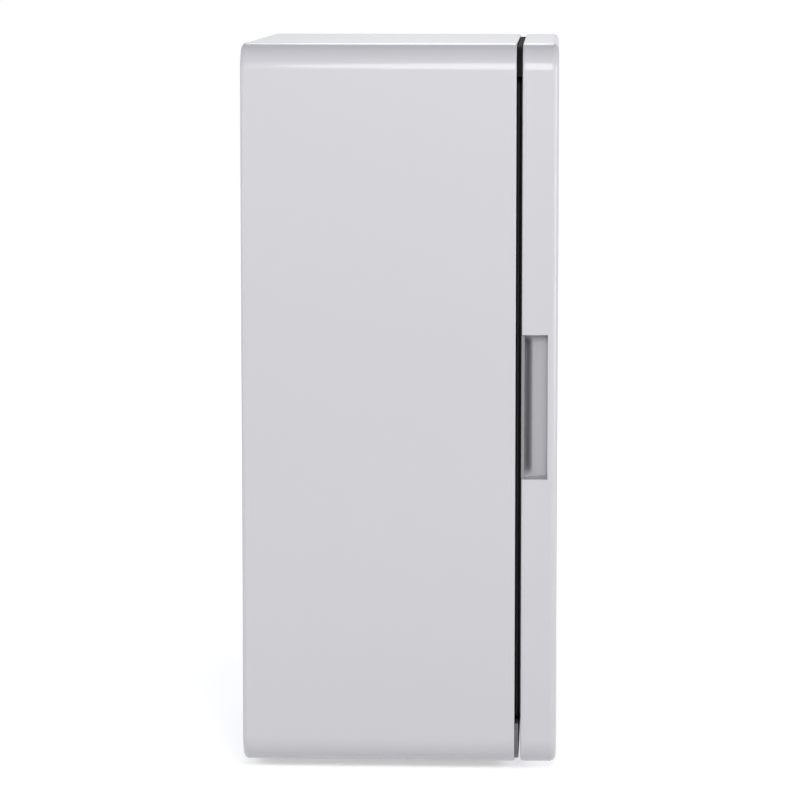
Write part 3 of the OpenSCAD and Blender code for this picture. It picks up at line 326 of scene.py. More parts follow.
def lamp_lens():
    """Frosted lens with a faint glow."""
    finish = Finish("frosted_lens")
    frost = finish.noise(1200.0, 2.0)
    finish.set(
        base_color=finish.blend(frost, (0.86, 0.88, 0.9, 1), (0.93, 0.94, 0.95, 1)),
        roughness=0.35 + 0.1 * frost,
        normal=finish.bump(frost, 2e-5),
        emission_color=(0.95, 0.97, 1.0, 1),
        emission_strength=0.6,
    )
    return finish.material


FINISHES = {
    "shell": shell_paint(),
    "liner": moulded("gloss_liner", LINER, 0.22, grain=900.0, depth=1e-5, coat=0.3),
    "black_plastic": moulded("black_plastic", (0.012, 0.011, 0.012), 0.5, depth=1.5e-5, spread=0.05),
    "pull": pull_plastic(),
    "gap_plate": painted_plate(),
    "foam": foam(),
    "rubber": rubber(),
    "aluminium": drawn_metal("extruded_aluminium", (0.80, 0.81, 0.82), 0.34),
    "steel": drawn_metal("zinc_steel", (0.60, 0.60, 0.62), 0.38, along=(1.0, 1.0, 6.0)),
    "ceramic": ceramic(),
    "board": circuit_board(),
    "glass": clear("shelf_glass", (0.90, 0.97, 0.95)),
    "clear_plastic": clear("clear_plastic", (0.80, 0.87, 0.91), 0.10, 0.78),
    "trim": moulded("white_trim", (0.80, 0.80, 0.81), 0.3, coat=0.2),
    "rocker": moulded("gloss_rocker", (0.02, 0.02, 0.022), 0.2, coat=0.4),
    "bush": moulded("bush_plastic", (0.75, 0.74, 0.70), 0.45),
    "magnet": moulded("magnet_black", (0.05, 0.05, 0.055), 0.4, spread=0.05),
}
SLOT_OF = {part["node"]: part["material_slot"] for part in frame["record"]["subparts"]}
BODY_OF = {node: body for body, nodes in frame["record"]["behaviour"]["bodies"].items() for node in nodes}


# ---- repeating things


SOCKETS = {int: "NodeSocketInt", float: "NodeSocketFloat", tuple: "NodeSocketVector"}


class Repeat(Nodes):
    """A Geometry Nodes tree with named inputs, whose result is turned into a plain mesh."""

    def __init__(self, name, **inputs):
        self.tree = bpy.data.node_groups.new(name, "GeometryNodeTree")
        self.inputs = inputs
        self.tree.interface.new_socket("Geometry", in_out="INPUT", socket_type="NodeSocketGeometry")
        self.tree.interface.new_socket("Geometry", in_out="OUTPUT", socket_type="NodeSocketGeometry")
        self.identifiers = {}
        for key, value in inputs.items():
            socket = self.tree.interface.new_socket(key, in_out="INPUT", socket_type=SOCKETS[type(value)])
            self.identifiers[key] = socket.identifier
        material = self.tree.interface.new_socket("Finish", in_out="INPUT", socket_type="NodeSocketMaterial")
        self.identifiers["Finish"] = material.identifier
        self.entry = self.tree.nodes.new("NodeGroupInput")
        self.exit = self.tree.nodes.new("NodeGroupOutput")

    def input(self, key):
        return Value(self.tree, self.entry.outputs[key])

    def moved(self, geometry, key, by):
        """The geometry after one of Translation, Rotation or Scale."""
        return self.node("GeometryNodeTransform", sockets={"Geometry": geometry, key: by})

    def copies(self, points, piece, **turned):
        sockets = {"Points": points, "Instance": piece, **turned}
        return self.node("GeometryNodeInstanceOnPoints", sockets=sockets)

    def line(self, step):
        """As many points as the count, one step apart."""
        sockets = {"Count": self.input("Count"), "Offset": step}
        return self.node("GeometryNodeMeshLine", {"mode": "OFFSET"}, sockets)

    def vector(self, x=0.0, y=0.0, z=0.0):
        return self.node("ShaderNodeCombineXYZ", sockets={"X": x, "Y": y, "Z": z})

    def end(self, geometry):
        real = self.node("GeometryNodeRealizeInstances", sockets={"Geometry": geometry})
        sockets = {"Geometry": real, "Material": self.input("Finish")}
        dressed = self.node("GeometryNodeSetMaterial", sockets=sockets)
        self.tree.links.new(dressed.socket, self.exit.inputs["Geometry"])
        return self

    def grow(self, piece, finish, **values):
        """Runs the tree on a piece with its own values, and leaves a plain mesh."""
        modifier = piece.modifiers.new(self.tree.name, "NODES")
        modifier.node_group = self.tree
        for key, value in {**self.inputs, **values}.items():
            modifier[self.identifiers[key]] = value
        modifier[self.identifiers["Finish"]] = finish
        return settle(piece)


def row_tree():
    """Copies of the piece in a straight row."""
    repeat = Repeat("row_of_copies", Count=2, Step=(0.01, 0.0, 0.0))
    line = repeat.line(repeat.input("Step"))
    return repeat.end(repeat.copies(line, repeat.input("Geometry")))


def wheel_tree():
    """Copies of the piece turned about an axis along Y through a centre."""
    repeat = Repeat("wheel_of_copies", Count=7, Centre=(0.0, 0.0, 0.0), Sweep=math.tau)
    centre = repeat.input("Centre")
    back = repeat.node("ShaderNodeVectorMath", {"operation": "SCALE"}, {0: centre, "Scale": -1.0})
    home = repeat.moved(repeat.input("Geometry"), "Translation", back)
    index = repeat.node("GeometryNodeInputIndex")
    turn = repeat.vector(y=index * (repeat.input("Sweep") / repeat.input("Count")))
    copies = repeat.copies(repeat.line((0.0, 0.0, 0.0)), home, Rotation=turn)
    return repeat.end(repeat.moved(copies, "Translation", centre))


def screw_tree():
    """Domed screw heads with a cross recess, one at each point of the piece, facing a turn about X."""
    repeat = Repeat("cross_screws", Radius=0.004, Height=0.0018, Shank=0.002, Length=0.008, Facing=0.0)
    radius, height, length = repeat.input("Radius"), repeat.input("Height"), repeat.input("Length")
    union = {"operation": "UNION", "solver": "EXACT"}
    difference = {"operation": "DIFFERENCE", "solver": "EXACT"}
    ball = repeat.node("GeometryNodeMeshUVSphere", sockets={"Segments": 28, "Rings": 14, "Radius": 1.0})
    dome = repeat.moved(ball, "Scale", repeat.vector(radius, radius, height))
    block = repeat.node("GeometryNodeMeshCube", sockets={"Size": (0.03, 0.03, 0.02)})
    under = repeat.moved(block, "Translation", (0.0, 0.0, -0.01))
    bars = []
    for across, along in ((1.15, 0.26), (0.26, 1.15)):
        size = repeat.vector(radius * across, radius * along, height)
        bar = repeat.node("GeometryNodeMeshCube", sockets={"Size": size})
        bars.append(repeat.moved(bar, "Translation", repeat.vector(z=height * 0.95)))
    cross = repeat.node("GeometryNodeMeshBoolean", union, {"Mesh 2": bars})
    half = repeat.node("GeometryNodeMeshBoolean", difference, {"Mesh 1": dome, "Mesh 2": under})
    head = repeat.node("GeometryNodeMeshBoolean", difference, {"Mesh 1": half, "Mesh 2": cross})
    shank = repeat.node(
        "GeometryNodeMeshCylinder",
        sockets={"Vertices": 16, "Radius": repeat.input("Shank"), "Depth": length},
    )
    sunk = repeat.moved(shank, "Translation", repeat.vector(z=length * -0.5))
    whole = repeat.node("GeometryNodeJoinGeometry", sockets={"Geometry": [head, sunk]})
    facing = repeat.vector(repeat.input("Facing"))
    return repeat.end(repeat.copies(repeat.input("Geometry"), whole, Rotation=facing))


# ---- mesh helpers


def dress(piece, slot, finish=None):
    """Gives a piece its finish: the given one, or else the finish of its material slot."""
    piece.data.materials.clear()
    piece.data.materials.append(finish or FINISHES[slot])


def add_object(name, mesh):
    piece = bpy.data.objects.new(name, mesh)
    bpy.context.scene.collection.objects.link(piece)
    return piece


def settle(piece, *modifiers):
    """Applies modifiers, given as (kind, settings), and leaves a plain mesh with clean normals."""
    for kind, settings in modifiers:
        modifier = piece.modifiers.new(kind.lower(), kind)
        for key, setting in settings.items():
            setattr(modifier, key, setting)
    evaluated = piece.evaluated_get(bpy.context.evaluated_depsgraph_get())
    mesh = bpy.data.meshes.new_from_object(evaluated)
    piece.modifiers.clear()
    old = piece.data
    piece.data = mesh
    bpy.data.meshes.remove(old)
    return piece


def smooth(piece, angle=35.0):
    """Shades a piece smoothly up to an angle, with flat faces kept flat."""
    piece.data.shade_smooth()
    piece.data.set_sharp_from_angle(angle=math.radians(angle))
    return settle(piece, ("WEIGHTED_NORMAL", {"keep_sharp": True, "weight": 100}))


def new_piece(piece, node, slot=None, finish=None):
    """A piece on the same body as a CAD node, which stays in view."""
    dress(piece, slot or SLOT_OF[node], finish)
    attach(piece, BODY_OF[node])


def take_over(piece, node, finish=None):
    """The piece stands for a CAD node and rides on its body."""
    new_piece(piece, node, finish=finish)
    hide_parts(node)


def mesh_from(name, bm):
    mesh = bpy.data.meshes.new(name)
    bm.to_mesh(mesh)
    bm.free()
    return add_object(name, mesh)


def bevel(width, segments, **more):
    """Settings that round the edges sharper than 30 degrees."""
    return ("BEVEL", {
        "width": width,
        "segments": segments,
        "limit_method": "ANGLE",
        "angle_limit": math.radians(30),
        "use_clamp_overlap": True,
        **more,
    })


def bevelled(piece, width, segments=3):
    return smooth(settle(piece, bevel(width, segments)), 40.0)


def softened(node, width, finish=None):
    """A copy of a CAD node with its edges rounded, which takes the node's place."""
    bm = bmesh.new()
    bm.from_mesh(frame["nodes"][node].data)
    bmesh.ops.remove_doubles(bm, verts=bm.verts, dist=1e-6)
    bmesh.ops.dissolve_limit(bm, angle_limit=math.radians(1), verts=bm.verts, edges=bm.edges)
    piece = mesh_from(node + ".soft", bm)
    settle(piece, bevel(width, 2, miter_outer="MITER_ARC"))
    take_over(smooth(piece, 40.0), node, finish)


def arc(cx, cz, radius, start, steps):
    """Points of a quarter circle, from an angle in degrees."""
    turns = [math.radians(start + 90 * step / steps) for step in range(steps + 1)]
    return [(cx + radius * math.cos(turn), cz + radius * math.sin(turn)) for turn in turns]


def outline(width, height, radius, steps):
    """A rectangle with rounded corners, anticlockwise as seen from behind."""
    x, z = width / 2 - radius, height / 2 - radius
    return (
        arc(x, z, radius, 0, steps)
        + arc(-x, z, radius, 90, steps)
        + arc(-x, -z, radius, 180, steps)
        + arc(x, -z, radius, 270, steps)
    )


def ring(width, height, radius, y, middle, steps=24, inset=0.0):
    points = outline(width - 2 * inset, height - 2 * inset, max(radius - inset, 1e-4), steps)
    return [Vector((x, y, middle + z)) for x, z in points]


def loft(name, rings, loop=False):
    """A skin over rings of equal length, closed by two caps or by running round to the first ring."""
    bm = bmesh.new()
    grid = [[bm.verts.new(point) for point in points] for points in rings]
    for first, second in list(zip(grid, grid[1:])) + [(grid[-1], grid[0])] * loop:
        count = len(first)
        for place in range(count):
            after = (place + 1) % count
            bm.faces.new((first[place], first[after], second[after], second[place]))
    if not loop:
        bm.faces.new(reversed(grid[0]))
        bm.faces.new(grid[-1])
    bmesh.ops.remove_doubles(bm, verts=bm.verts, dist=1e-7)
    bmesh.ops.recalc_face_normals(bm, faces=bm.faces)
    return mesh_from(name, bm)


def box_piece(name, low, high):
    bm = bmesh.new()
    bmesh.ops.create_cube(bm, size=1.0)
    low, high = Vector(low), Vector(high)
    for vert in bm.verts:
        vert.co = [low[k] + (vert.co[k] + 0.5) * (high[k] - low[k]) for k in range(3)]
    return mesh_from(name, bm)


def cut_away(piece, *cutters):
    """Takes the cutters' shapes out of a piece, and removes the cutters."""
    for cutter in cutters:
        settle(piece, ("BOOLEAN", {"operation": "DIFFERENCE", "object": cutter, "solver": "EXACT"}))
        bpy.data.objects.remove(cutter)
    return piece


def fillet(edge_y, inward, radius, steps=8):
    """Steps round an edge as (y, inset), starting on the outside wall. inward is +1 or -1 along Y."""
    turns = [math.radians(90 * step / steps) for step in range(steps + 1)]
    return [(edge_y + inward * radius * (1 - math.sin(t)), radius * (1 - math.cos(t))) for t in turns]


def islands(node):
    """Lowest and highest corners of each separate solid in a CAD node."""
    mesh = frame["nodes"][node].data
    bm = bmesh.new()
    bm.from_mesh(mesh)
    bmesh.ops.remove_doubles(bm, verts=bm.verts, dist=1e-6)
    left = set(bm.verts)
    boxes = []
    while left:
        stack = [left.pop()]
        found = []
        while stack:
            vert = stack.pop()
            found.append(vert.co.copy())
            for edge in vert.link_edges:
                other = edge.other_vert(vert)
                if other in left:
                    left.remove(other)
                    stack.append(other)
        boxes.append([Vector([pick(point[k] for point in found) for k in range(3)]) for pick in (min, max)])
    bm.free()
    return sorted(boxes, key=lambda pair: tuple(pair[0]))


def flat_ring(low, high, radius, z, inset=0.0, steps=8):
    """A level rectangle with rounded corners, between two corners of a box."""
    width, depth = high.x - low.x - 2 * inset, high.y - low.y - 2 * inset
    points = outline(width, depth, max(radius - inset, 5e-4), steps)
    middle = (low + high) / 2
    return [Vector((middle.x + x, middle.y + y, z)) for x, y in points]


def lathe(name, profile, centre, axis="Y", steps=48, flutes=0, flute_depth=0.0):
    """A turned piece from (radius, height) points, with optional flutes round its widest part."""
    widest = max(radius for radius, height in profile)
    rings = []
    for radius, height in profile:
        points = []
        for step in range(steps):
            turn = math.tau * step / steps
            fluted = flutes and radius > 0.9 * widest
            cut = flute_depth * max(0.0, math.cos(flutes * turn)) if fluted else 0.0
            x, y = (radius - cut) * math.cos(turn), (radius - cut) * math.sin(turn)
            points.append(centre + (Vector((x, height, y)) if axis == "Y" else Vector((x, y, height))))
        rings.append(points)
    return loft(name, rings)


def joined(name, *pieces):
    """One object from several."""
    bm = bmesh.new()
    for piece in pieces:
        bm.from_mesh(piece.data)
        bpy.data.objects.remove(piece)
    return mesh_from(name, bm)


# ---- cabinet and door

CORNER = 28 * MM
BACK_EDGE = 5 * MM
DOOR_EDGE = 7 * MM
SMALL_EDGE = 1.2 * MM
DOOR_BACK_EDGE = 2 * MM
SKIN = 2.5 * MM
BAY_SLACK = 0.5 * MM
COVER_CORNER = 9.5 * MM
PULL_WALL = 2 * MM


def upright(node):
    """A node's box, with its width, its height and the height of its middle."""
    low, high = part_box(node)
    return low, high, high.x - low.x, high.z - low.z, (low.z + high.z) / 2


shell_low, shell_high, SHELL_W, SHELL_H, MID_Z = upright("outer_shell")
door_low, door_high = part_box("door_shell")
pull_low, pull_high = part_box("handle_cup")


def shell_ring(y, inset=0.0):
    return ring(SHELL_W, SHELL_H, CORNER, y, MID_Z, inset=inset)


def bay_ring(y):
    width, height, middle = upright("rear_cover")[2:]
    return ring(width, height, COVER_CORNER, y, middle, inset=-BAY_SLACK)


def cabinet_skin():
    """The cabinet's outer shell, open at the front and with the bay's opening in the back."""
    front, back = shell_low.y, shell_high.y
    inside = back - SKIN
    rings = [shell_ring(inside, SKIN), shell_ring(front, SKIN)]
    rings += [shell_ring(y, inset) for y, inset in reversed(fillet(front, 1, SMALL_EDGE, 4))]
    rings += [shell_ring(y, inset) for y, inset in fillet(back, -1, BACK_EDGE)]
    rings += [bay_ring(back), bay_ring(inside)]
    piece = loft("cabinet_skin", rings, loop=True)
    take_over(smooth(piece), "outer_shell")


def door_skin():
    """The door's outer pan, with the finger pull's window and the hinge notches cut out."""
    front, back = door_low.y, door_high.y
    rings = [shell_ring(front + SKIN, SKIN), shell_ring(back, SKIN)]
    rings += [shell_ring(y, inset) for y, inset in reversed(fillet(back, -1, DOOR_BACK_EDGE, 4))]
    rings += [shell_ring(y, inset) for y, inset in fillet(front, 1, DOOR_EDGE, 12)]
    piece = loft("door_skin", rings)
    over = 2 * MM
    window = box_piece(
        "window",
        (door_low.x - over, pull_low.y + PULL_WALL, pull_low.z + PULL_WALL),
        (door_low.x + SKIN + over, back + over, pull_high.z - PULL_WALL),
    )
    cutters = [window]
    for leaf in ("upper_hinge_bracket", "lower_hinge_bracket"):
        low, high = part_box(leaf)
        z = high.z if leaf.startswith("upper") else low.z
        away = -1 if leaf.startswith("upper") else 1
        slack = 0.6 * MM
        span = sorted((z - away * slack, z + away * (3 * MM + slack)))
        cutters.append(
            box_piece(
                "notch",
                (high.x - 17 * MM, low.y - 5 * MM, span[0]),
                (door_high.x + over, back + over, span[1]),
            )
        )
    cut_away(piece, *cutters)
    take_over(smooth(piece, 30), "door_shell")


cabinet_skin()
door_skin()


# ---- finger pull


def eased(share):
    """Goes smoothly from 0 to 1."""
    return 0.5 - 0.5 * math.cos(math.pi * min(1.0, max(0.0, share)))


def finger_pull():
    """The moulded pull: a lip along the back, a deep trough behind it and a flat floor."""
    lip_w, lip_depth, floor_depth = 2.4 * MM, 2.6 * MM, 12 * MM
    trough_depth = 8.2 * MM
    wall_end, trough_end, floor_start = 3.0 * MM, 4.0 * MM, 11.5 * MM
    bottom_run, top_run = 13 * MM, 9 * MM
    # Painted shade amounts, from 0 to 1, for the lip and for the rim walls.
    lip_shade, wall_shade = 0.92, 0.3
    window_z = (pull_low.z + PULL_WALL, pull_high.z - PULL_WALL)
    back_y = door_high.y - 0.2 * MM
    width = back_y - (pull_low.y + PULL_WALL)
    height = window_z[1] - window_z[0]
    rows, columns = 110, 72

    def profile(inward, ends):
        """Depth below the door's side at a distance inward of the back edge."""
        dip = trough_depth * ends * (1 - eased((inward - trough_end) / (floor_start - trough_end)))
        wall = eased((inward - lip_w) / (wall_end - lip_w))
        return lip_depth + (floor_depth + dip - lip_depth) * wall

    bm = bmesh.new()
    # The recess layer holds painted shade for the pull's finish, not a depth.
    recess = bm.verts.layers.float.new("recess")
    grid = []
    for row in range(rows + 1):
        line = []
        share = eased(row / rows)
        for column in range(columns + 1):
            inward = width * (1 - math.cos(0.5 * math.pi * column / columns))
            low_edge = (0.6 + 2.8 * inward / width) * MM
            up = low_edge + (height - low_edge) * share
            ends = eased(up / bottom_run) * eased((height - up) / top_run)
            depth = profile(inward, ends)
            vert = bm.verts.new((door_low.x + depth, back_y - inward, window_z[0] + up))
            # Painted shade grows with the trough's depth below the floor; the lip has a fixed painted shade.
            sunk = min(1.0, max(0.0, depth - floor_depth) / trough_depth * 1.15)
            vert[recess] = lip_shade if inward < lip_w else sunk
            line.append(vert)
        grid.append(line)
    for first, second in zip(grid, grid[1:]):
        for column in range(columns):
            bm.faces.new((first[column], second[column], second[column + 1], first[column + 1]))
    front_y = back_y - width
    for step in ("rim", "back"):
        made = bmesh.ops.extrude_edge_only(bm, edges=[edge for edge in bm.edges if edge.is_boundary])["geom"]
        for vert in [item for item in made if isinstance(item, bmesh.types.BMVert)]:
            at_back = vert.co.y > back_y - 1e-6
            # The rim walls get a fixed painted shade.
            vert[recess] = wall_shade
            if step == "rim":
                if not at_back:
                    vert.co.x = door_low.x + 0.3 * MM
                if vert.co.z < window_z[0] + 4 * MM:
                    vert.co.z = window_z[0]
            else:
                vert.co.x = pull_high.x
                vert.co.y = max(vert.co.y, front_y)
    bmesh.ops.contextual_create(bm, geom=[edge for edge in bm.edges if edge.is_boundary])
    bmesh.ops.remove_doubles(bm, verts=bm.verts, dist=1e-7)
    bmesh.ops.recalc_face_normals(bm, faces=bm.faces)
    piece = mesh_from("finger_pull", bm)
    take_over(smooth(piece, 40), "handle_cup")


finger_pull()


# ---- gasket


def gasket_skin():
    """Door seal: a flat base, a bellows and a rounded magnet pocket, swept round the door."""
    low, high, width, height, middle = upright("door_gasket")
    deep = high.y - low.y
    band = 13 * MM
    profile = [
        (0.0, 0.0), (0.0, 0.22), (0.14, 0.27), (0.20, 0.36), (0.10, 0.44), (0.02, 0.52), (0.0, 0.62),
        (0.0, 0.84), (0.05, 0.95), (0.14, 1.0), (0.86, 1.0), (0.95, 0.95), (1.0, 0.84), (1.0, 0.62),
        (0.98, 0.52), (0.90, 0.44), (0.80, 0.36), (0.86, 0.27), (1.0, 0.22), (1.0, 0.0),
    ]
    rings = [
        ring(width, height, 10 * MM, low.y + deep * rise, middle, steps=10, inset=band * across)
        for across, rise in profile
    ]
    piece = loft("seal_lips", rings, loop=True)
    take_over(smooth(piece, 50), "door_gasket")


gasket_skin()


# ---- screws

ROW = row_tree()
WHEEL = wheel_tree()
SCREW = screw_tree()
OUTWARD, INWARD, DOWNWARD = math.radians(-90), math.radians(90), math.radians(180)


def screws(node, facing, radius, height, shank, length):
    """Cross-head screws in place of a CAD node's plain ones."""
    bm = bmesh.new()
    for low, high in islands(node):
        middle = (low + high) / 2
        if facing == OUTWARD:
            middle.y = high.y - height
        elif facing == INWARD:
            middle.y = low.y + height
        else:
            middle.z = low.z + height
        bm.verts.new(middle)
    piece = mesh_from(node + ".heads", bm)
    values = {"Radius": radius, "Height": height, "Shank": shank, "Length": length, "Facing": facing}
    SCREW.grow(piece, FINISHES["steel"], **values)
    take_over(smooth(piece, 35), node)


screws("rear_cover_screws", OUTWARD, 3.5 * MM, 1.6 * MM, 1.5 * MM, 8 * MM)
screws("hot_fan_screws", OUTWARD, 3.4 * MM, 1.6 * MM, 1.7 * MM, 25 * MM)
screws("sink_screws", OUTWARD, 3.8 * MM, 3.0 * MM, 1.9 * MM, 18 * MM)
screws("cold_cover_screws", INWARD, 3.0 * MM, 1.4 * MM, 1.4 * MM, 40 * MM)
screws("hinge_screws", INWARD, 4.0 * MM, 1.5 * MM, 2.0 * MM, 14 * MM)
screws("foot_screws", DOWNWARD, 4.0 * MM, 2.0 * MM, 2.0 * MM, 12 * MM)


# ---- cooler

FAN_RIM = 2.5 * MM
BLADE_PLAY = 2 * MM
HUB_SHARE = 0.17


def fan_wheel(node, frame_node, hub_at_front):
    """A moulded wheel: a domed hub and seven cambered blades that twist from root to tip."""
    low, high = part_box(node)
    frame_low, frame_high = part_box(frame_node)
    size = frame_high.x - frame_low.x
    hub_r = size * HUB_SHARE
    tip_r = size / 2 - FAN_RIM - BLADE_PLAY
    centre = (frame_low + frame_high) / 2
    if hub_at_front:
        front, back = low.y + 0.5 * MM, high.y - 2.6 * MM
    else:
        front, back = low.y + 2.6 * MM, high.y - 0.5 * MM
    centre.y = 0.0
    core, edge, steps = 0.4 * MM, 1.2 * MM, 5
    dome = [(core, front), (hub_r - edge, front)]
    dome += [(hub_r - edge + edge * math.sin(t), front + edge * (1 - math.cos(t)))
             for t in [math.radians(90 * k / steps) for k in range(1, steps + 1)]]
    dome += [(hub_r - edge + edge * math.cos(t), back - edge * (1 - math.sin(t)))
             for t in [math.radians(90 * k / steps) for k in range(steps + 1)]]
    dome.append((core, back))
    hub = lathe("hub", dome, centre)
    axle = lathe("axle", [(1.5 * MM, low.y), (1.5 * MM, high.y)], centre, steps=20)
    bm = bmesh.new()
    grid = []
    rows, columns = 12, 10
    middle = (front + back) / 2
    depth = (back - front) * 0.42
    for row in range(rows + 1):
        share = row / rows
        radius = hub_r - 1 * MM + (tip_r - hub_r + 1 * MM) * share
        half = math.radians(21 - 3 * share)
        line = []
        for column in range(columns + 1):
            across = 2 * column / columns - 1
            turn = across * half + 0.30 * share * share
            rise = depth * (across * (1.0 - 0.30 * share) + 0.22 * (1 - across * across))
            line.append(bm.verts.new((
                centre.x + radius * math.cos(turn),
                middle + rise,
                centre.z + radius * math.sin(turn),
            )))
        grid.append(line)
    for first, second in zip(grid, grid[1:]):
        for column in range(columns):
            bm.faces.new((first[column], first[column + 1], second[column + 1], second[column]))
    blade = settle(mesh_from("blade", bm), ("SOLIDIFY", {"thickness": 1.3 * MM, "offset": 0.0}))
    WHEEL.grow(blade, FINISHES["black_plastic"], Count=7, Centre=tuple(centre))
    take_over(smooth(joined(node + ".wheel", hub, axle, blade), 35), node)


fan_wheel("hot_fan_rotor", "hot_fan_housing", False)
fan_wheel("cold_fan_rotor", "cold_fan_housing", True)


def finned_block(node, base_side, base_t, fins):
    """An extruded sink: a base plate and a row of fins that taper to rounded tips."""
    low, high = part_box(node)
    root, tip, edge = 1.5 * MM, 0.9 * MM, 0.4 * MM
    if base_side == "front":
        base_y, tip_y, away = low.y + base_t, high.y, -1
        base = box_piece("base", low, (high.x, base_y, high.z))
    else:
        base_y, tip_y, away = high.y - base_t, low.y, 1
        base = box_piece("base", (low.x, base_y, low.z), high)
    bevelled(base, edge, 2)
    middle_x = low.x + root / 2
    rings = []
    for z in (low.z, high.z):
        start = base_y + away * edge
        turns = [math.pi * k / 6 for k in range(7)]
        round_tip = [(math.cos(turn) * tip / 2, math.sin(turn) * tip / 2) for turn in turns]
        across = [(middle_x + root / 2, start)]
        across += [(middle_x + x, tip_y + away * (tip / 2 - rise)) for x, rise in round_tip]
        across += [(middle_x - root / 2, start)]
        rings.append([Vector((x, y, z)) for x, y in across])
    fin = loft("fin", rings)
    pitch = (high.x - low.x - root) / (fins - 1)
    ROW.grow(fin, FINISHES["aluminium"], Count=fins, Step=(pitch, 0.0, 0.0))
    take_over(smooth(joined(node + ".fins", base, fin), 30), node)


finned_block("hot_sink", "front", 5 * MM, 19)
finned_block("cold_sink", "back", 4 * MM, 15)


# ---- rear louvres


def slots(x0, x1, z, height, count, pitch, y0, y1):
    """A row of round-ended bars along X, to be cut out of a panel."""
    points = ring(x1 - x0, height, height / 2, 0.0, z, steps=6)
    rings = [[point + Vector(((x0 + x1) / 2, y, 0)) for point in points] for y in (y0, y1)]
    bar = loft("slots", rings)
    return ROW.grow(bar, FINISHES["shell"], Count=count, Step=(0.0, 0.0, pitch))


def seats(node, radius, flare, y0, y1):
    """Round seats for the heads of a node's screws."""
    made = []
    for low, high in islands(node):
        middle = (low + high) / 2
        middle.y = 0.0
        made.append(lathe("seat", [(radius, y0), (radius + flare, y1)], middle, steps=32))
    return joined("seats", *made)


SLOT_PITCH = 9 * MM
SLOT_H = 4 * MM


def rear_rows():
    """The rear cover's rows of slots: (x0, x1, lowest z, count, pitch)."""
    low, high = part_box("rear_cover")
    fan_low, fan_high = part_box("hot_fan_housing")
    fan_z = (fan_low.z + fan_high.z) / 2
    end = 29.5 * MM
    top_z = high.z - end - 4 * SLOT_PITCH
    return [
        (-62 * MM, 62 * MM, fan_z - 6 * SLOT_PITCH, 13, SLOT_PITCH),
        (20 * MM, 110 * MM, top_z, 5, SLOT_PITCH),
        (-110 * MM, -20 * MM, top_z, 5, SLOT_PITCH),
        (-110 * MM, 0.0, low.z + end, 5, 1.5 * SLOT_PITCH),
    ]


def rear_panel():
    """The rear cover, with rounded edges, louvre slots, screw seats and the inlet's and switch's windows."""
    low, high, width, height, middle = upright("rear_cover")
    over, edge = 1 * MM, 0.6 * MM
    steps = [(low.y, 0.0), *fillet(high.y, -1, edge, 4)]
    rings = [ring(width, height, COVER_CORNER, y, middle, steps=12, inset=inset) for y, inset in steps]
    panel = loft("rear_panel", rings)
    cutters = [slots(x0, x1, z, SLOT_H, count, pitch, low.y - over, high.y + over)
               for x0, x1, z, count, pitch in rear_rows()]
    lug_x, lug_z, slip = 2.2 * MM, 2.7 * MM, 0.2 * MM
    for node in ("power_inlet", "switch_bezel"):
        part_low, part_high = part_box(node)
        cutters.append(box_piece(
            "window",
            (part_low.x + lug_x - slip, low.y - over, part_low.z + lug_z - slip),
            (part_high.x - lug_x + slip, high.y + over, part_high.z - lug_z + slip),
        ))
    seat_floor, seat_mouth = high.y - 1.7 * MM, high.y + 0.1 * MM
    cutters.append(seats("rear_cover_screws", 3.6 * MM, 0.3 * MM, seat_floor, seat_mouth))
    cut_away(panel, joined("cutters", *cutters))
    take_over(smooth(panel, 30), "rear_cover")


def louvres():
    """Slanted slats in the rear cover's slots."""
    low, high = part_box("rear_cover")
    half, inset, sheet = SLOT_H / 2 * 1.15, 1 * MM, 0.35 * MM
    made = []
    for x0, x1, z, count, pitch in rear_rows():
        slat = box_piece("slat", (x0 + inset, -sheet, -half), (x1 - inset, sheet, half))
        bevelled(slat, 0.3 * MM, 2)
        tilt = Matrix.Rotation(math.radians(38), 4, "X")
        slat.data.transform(Matrix.Translation((0, (low.y + high.y) / 2 - 0.3 * MM, z)) @ tilt)
        made.append(ROW.grow(slat, FINISHES["shell"], Count=count, Step=(0.0, 0.0, pitch)))
    new_piece(smooth(joined("rear_louvres", *made), 35), "rear_cover")


def air_cover():
    """Cover over the cold fan: a rounded tray with a slotted front and slotted sides."""
    low, high, width, height, middle = upright("cold_air_cover")
    wall, corner, edge, over = 2 * MM, 10 * MM, 3 * MM, 1 * MM
    inside = low.y + wall
    steps = [(inside, wall + over), (inside + over, wall), (high.y, wall), (high.y, 0.0)]
    steps += fillet(low.y, 1, edge, 6)
    rings = [ring(width, height, corner, y, middle, steps=10, inset=inset) for y, inset in steps]
    cover = loft("air_cover", rings)
    half_w, first_z = 38 * MM, middle - 4 * SLOT_PITCH
    cutters = [slots(-half_w, half_w, first_z, 4.5 * MM, 9, SLOT_PITCH, low.y - over, inside + over)]
    for side in (-1, 1):
        x = sorted((side * (high.x - wall - over), side * (high.x + over)))
        slot = box_piece(
            "slot",
            (x[0], low.y + 16 * MM, middle - 47 * MM),
            (x[1], high.y - 8 * MM, middle - 33 * MM),
        )
        bevelled(slot, 1.5 * MM, 3)
        cutters.append(ROW.grow(slot, FINISHES["liner"], Count=5, Step=(0.0, 0.0, 20 * MM)))
    cutters.append(seats("cold_cover_screws", 3.2 * MM, 0.0, low.y - over, low.y + 1.6 * MM))
    cut_away(cover, *cutters)
    take_over(smooth(cover, 30), "cold_air_cover")


rear_panel()
louvres()
air_cover()


# ---- trays


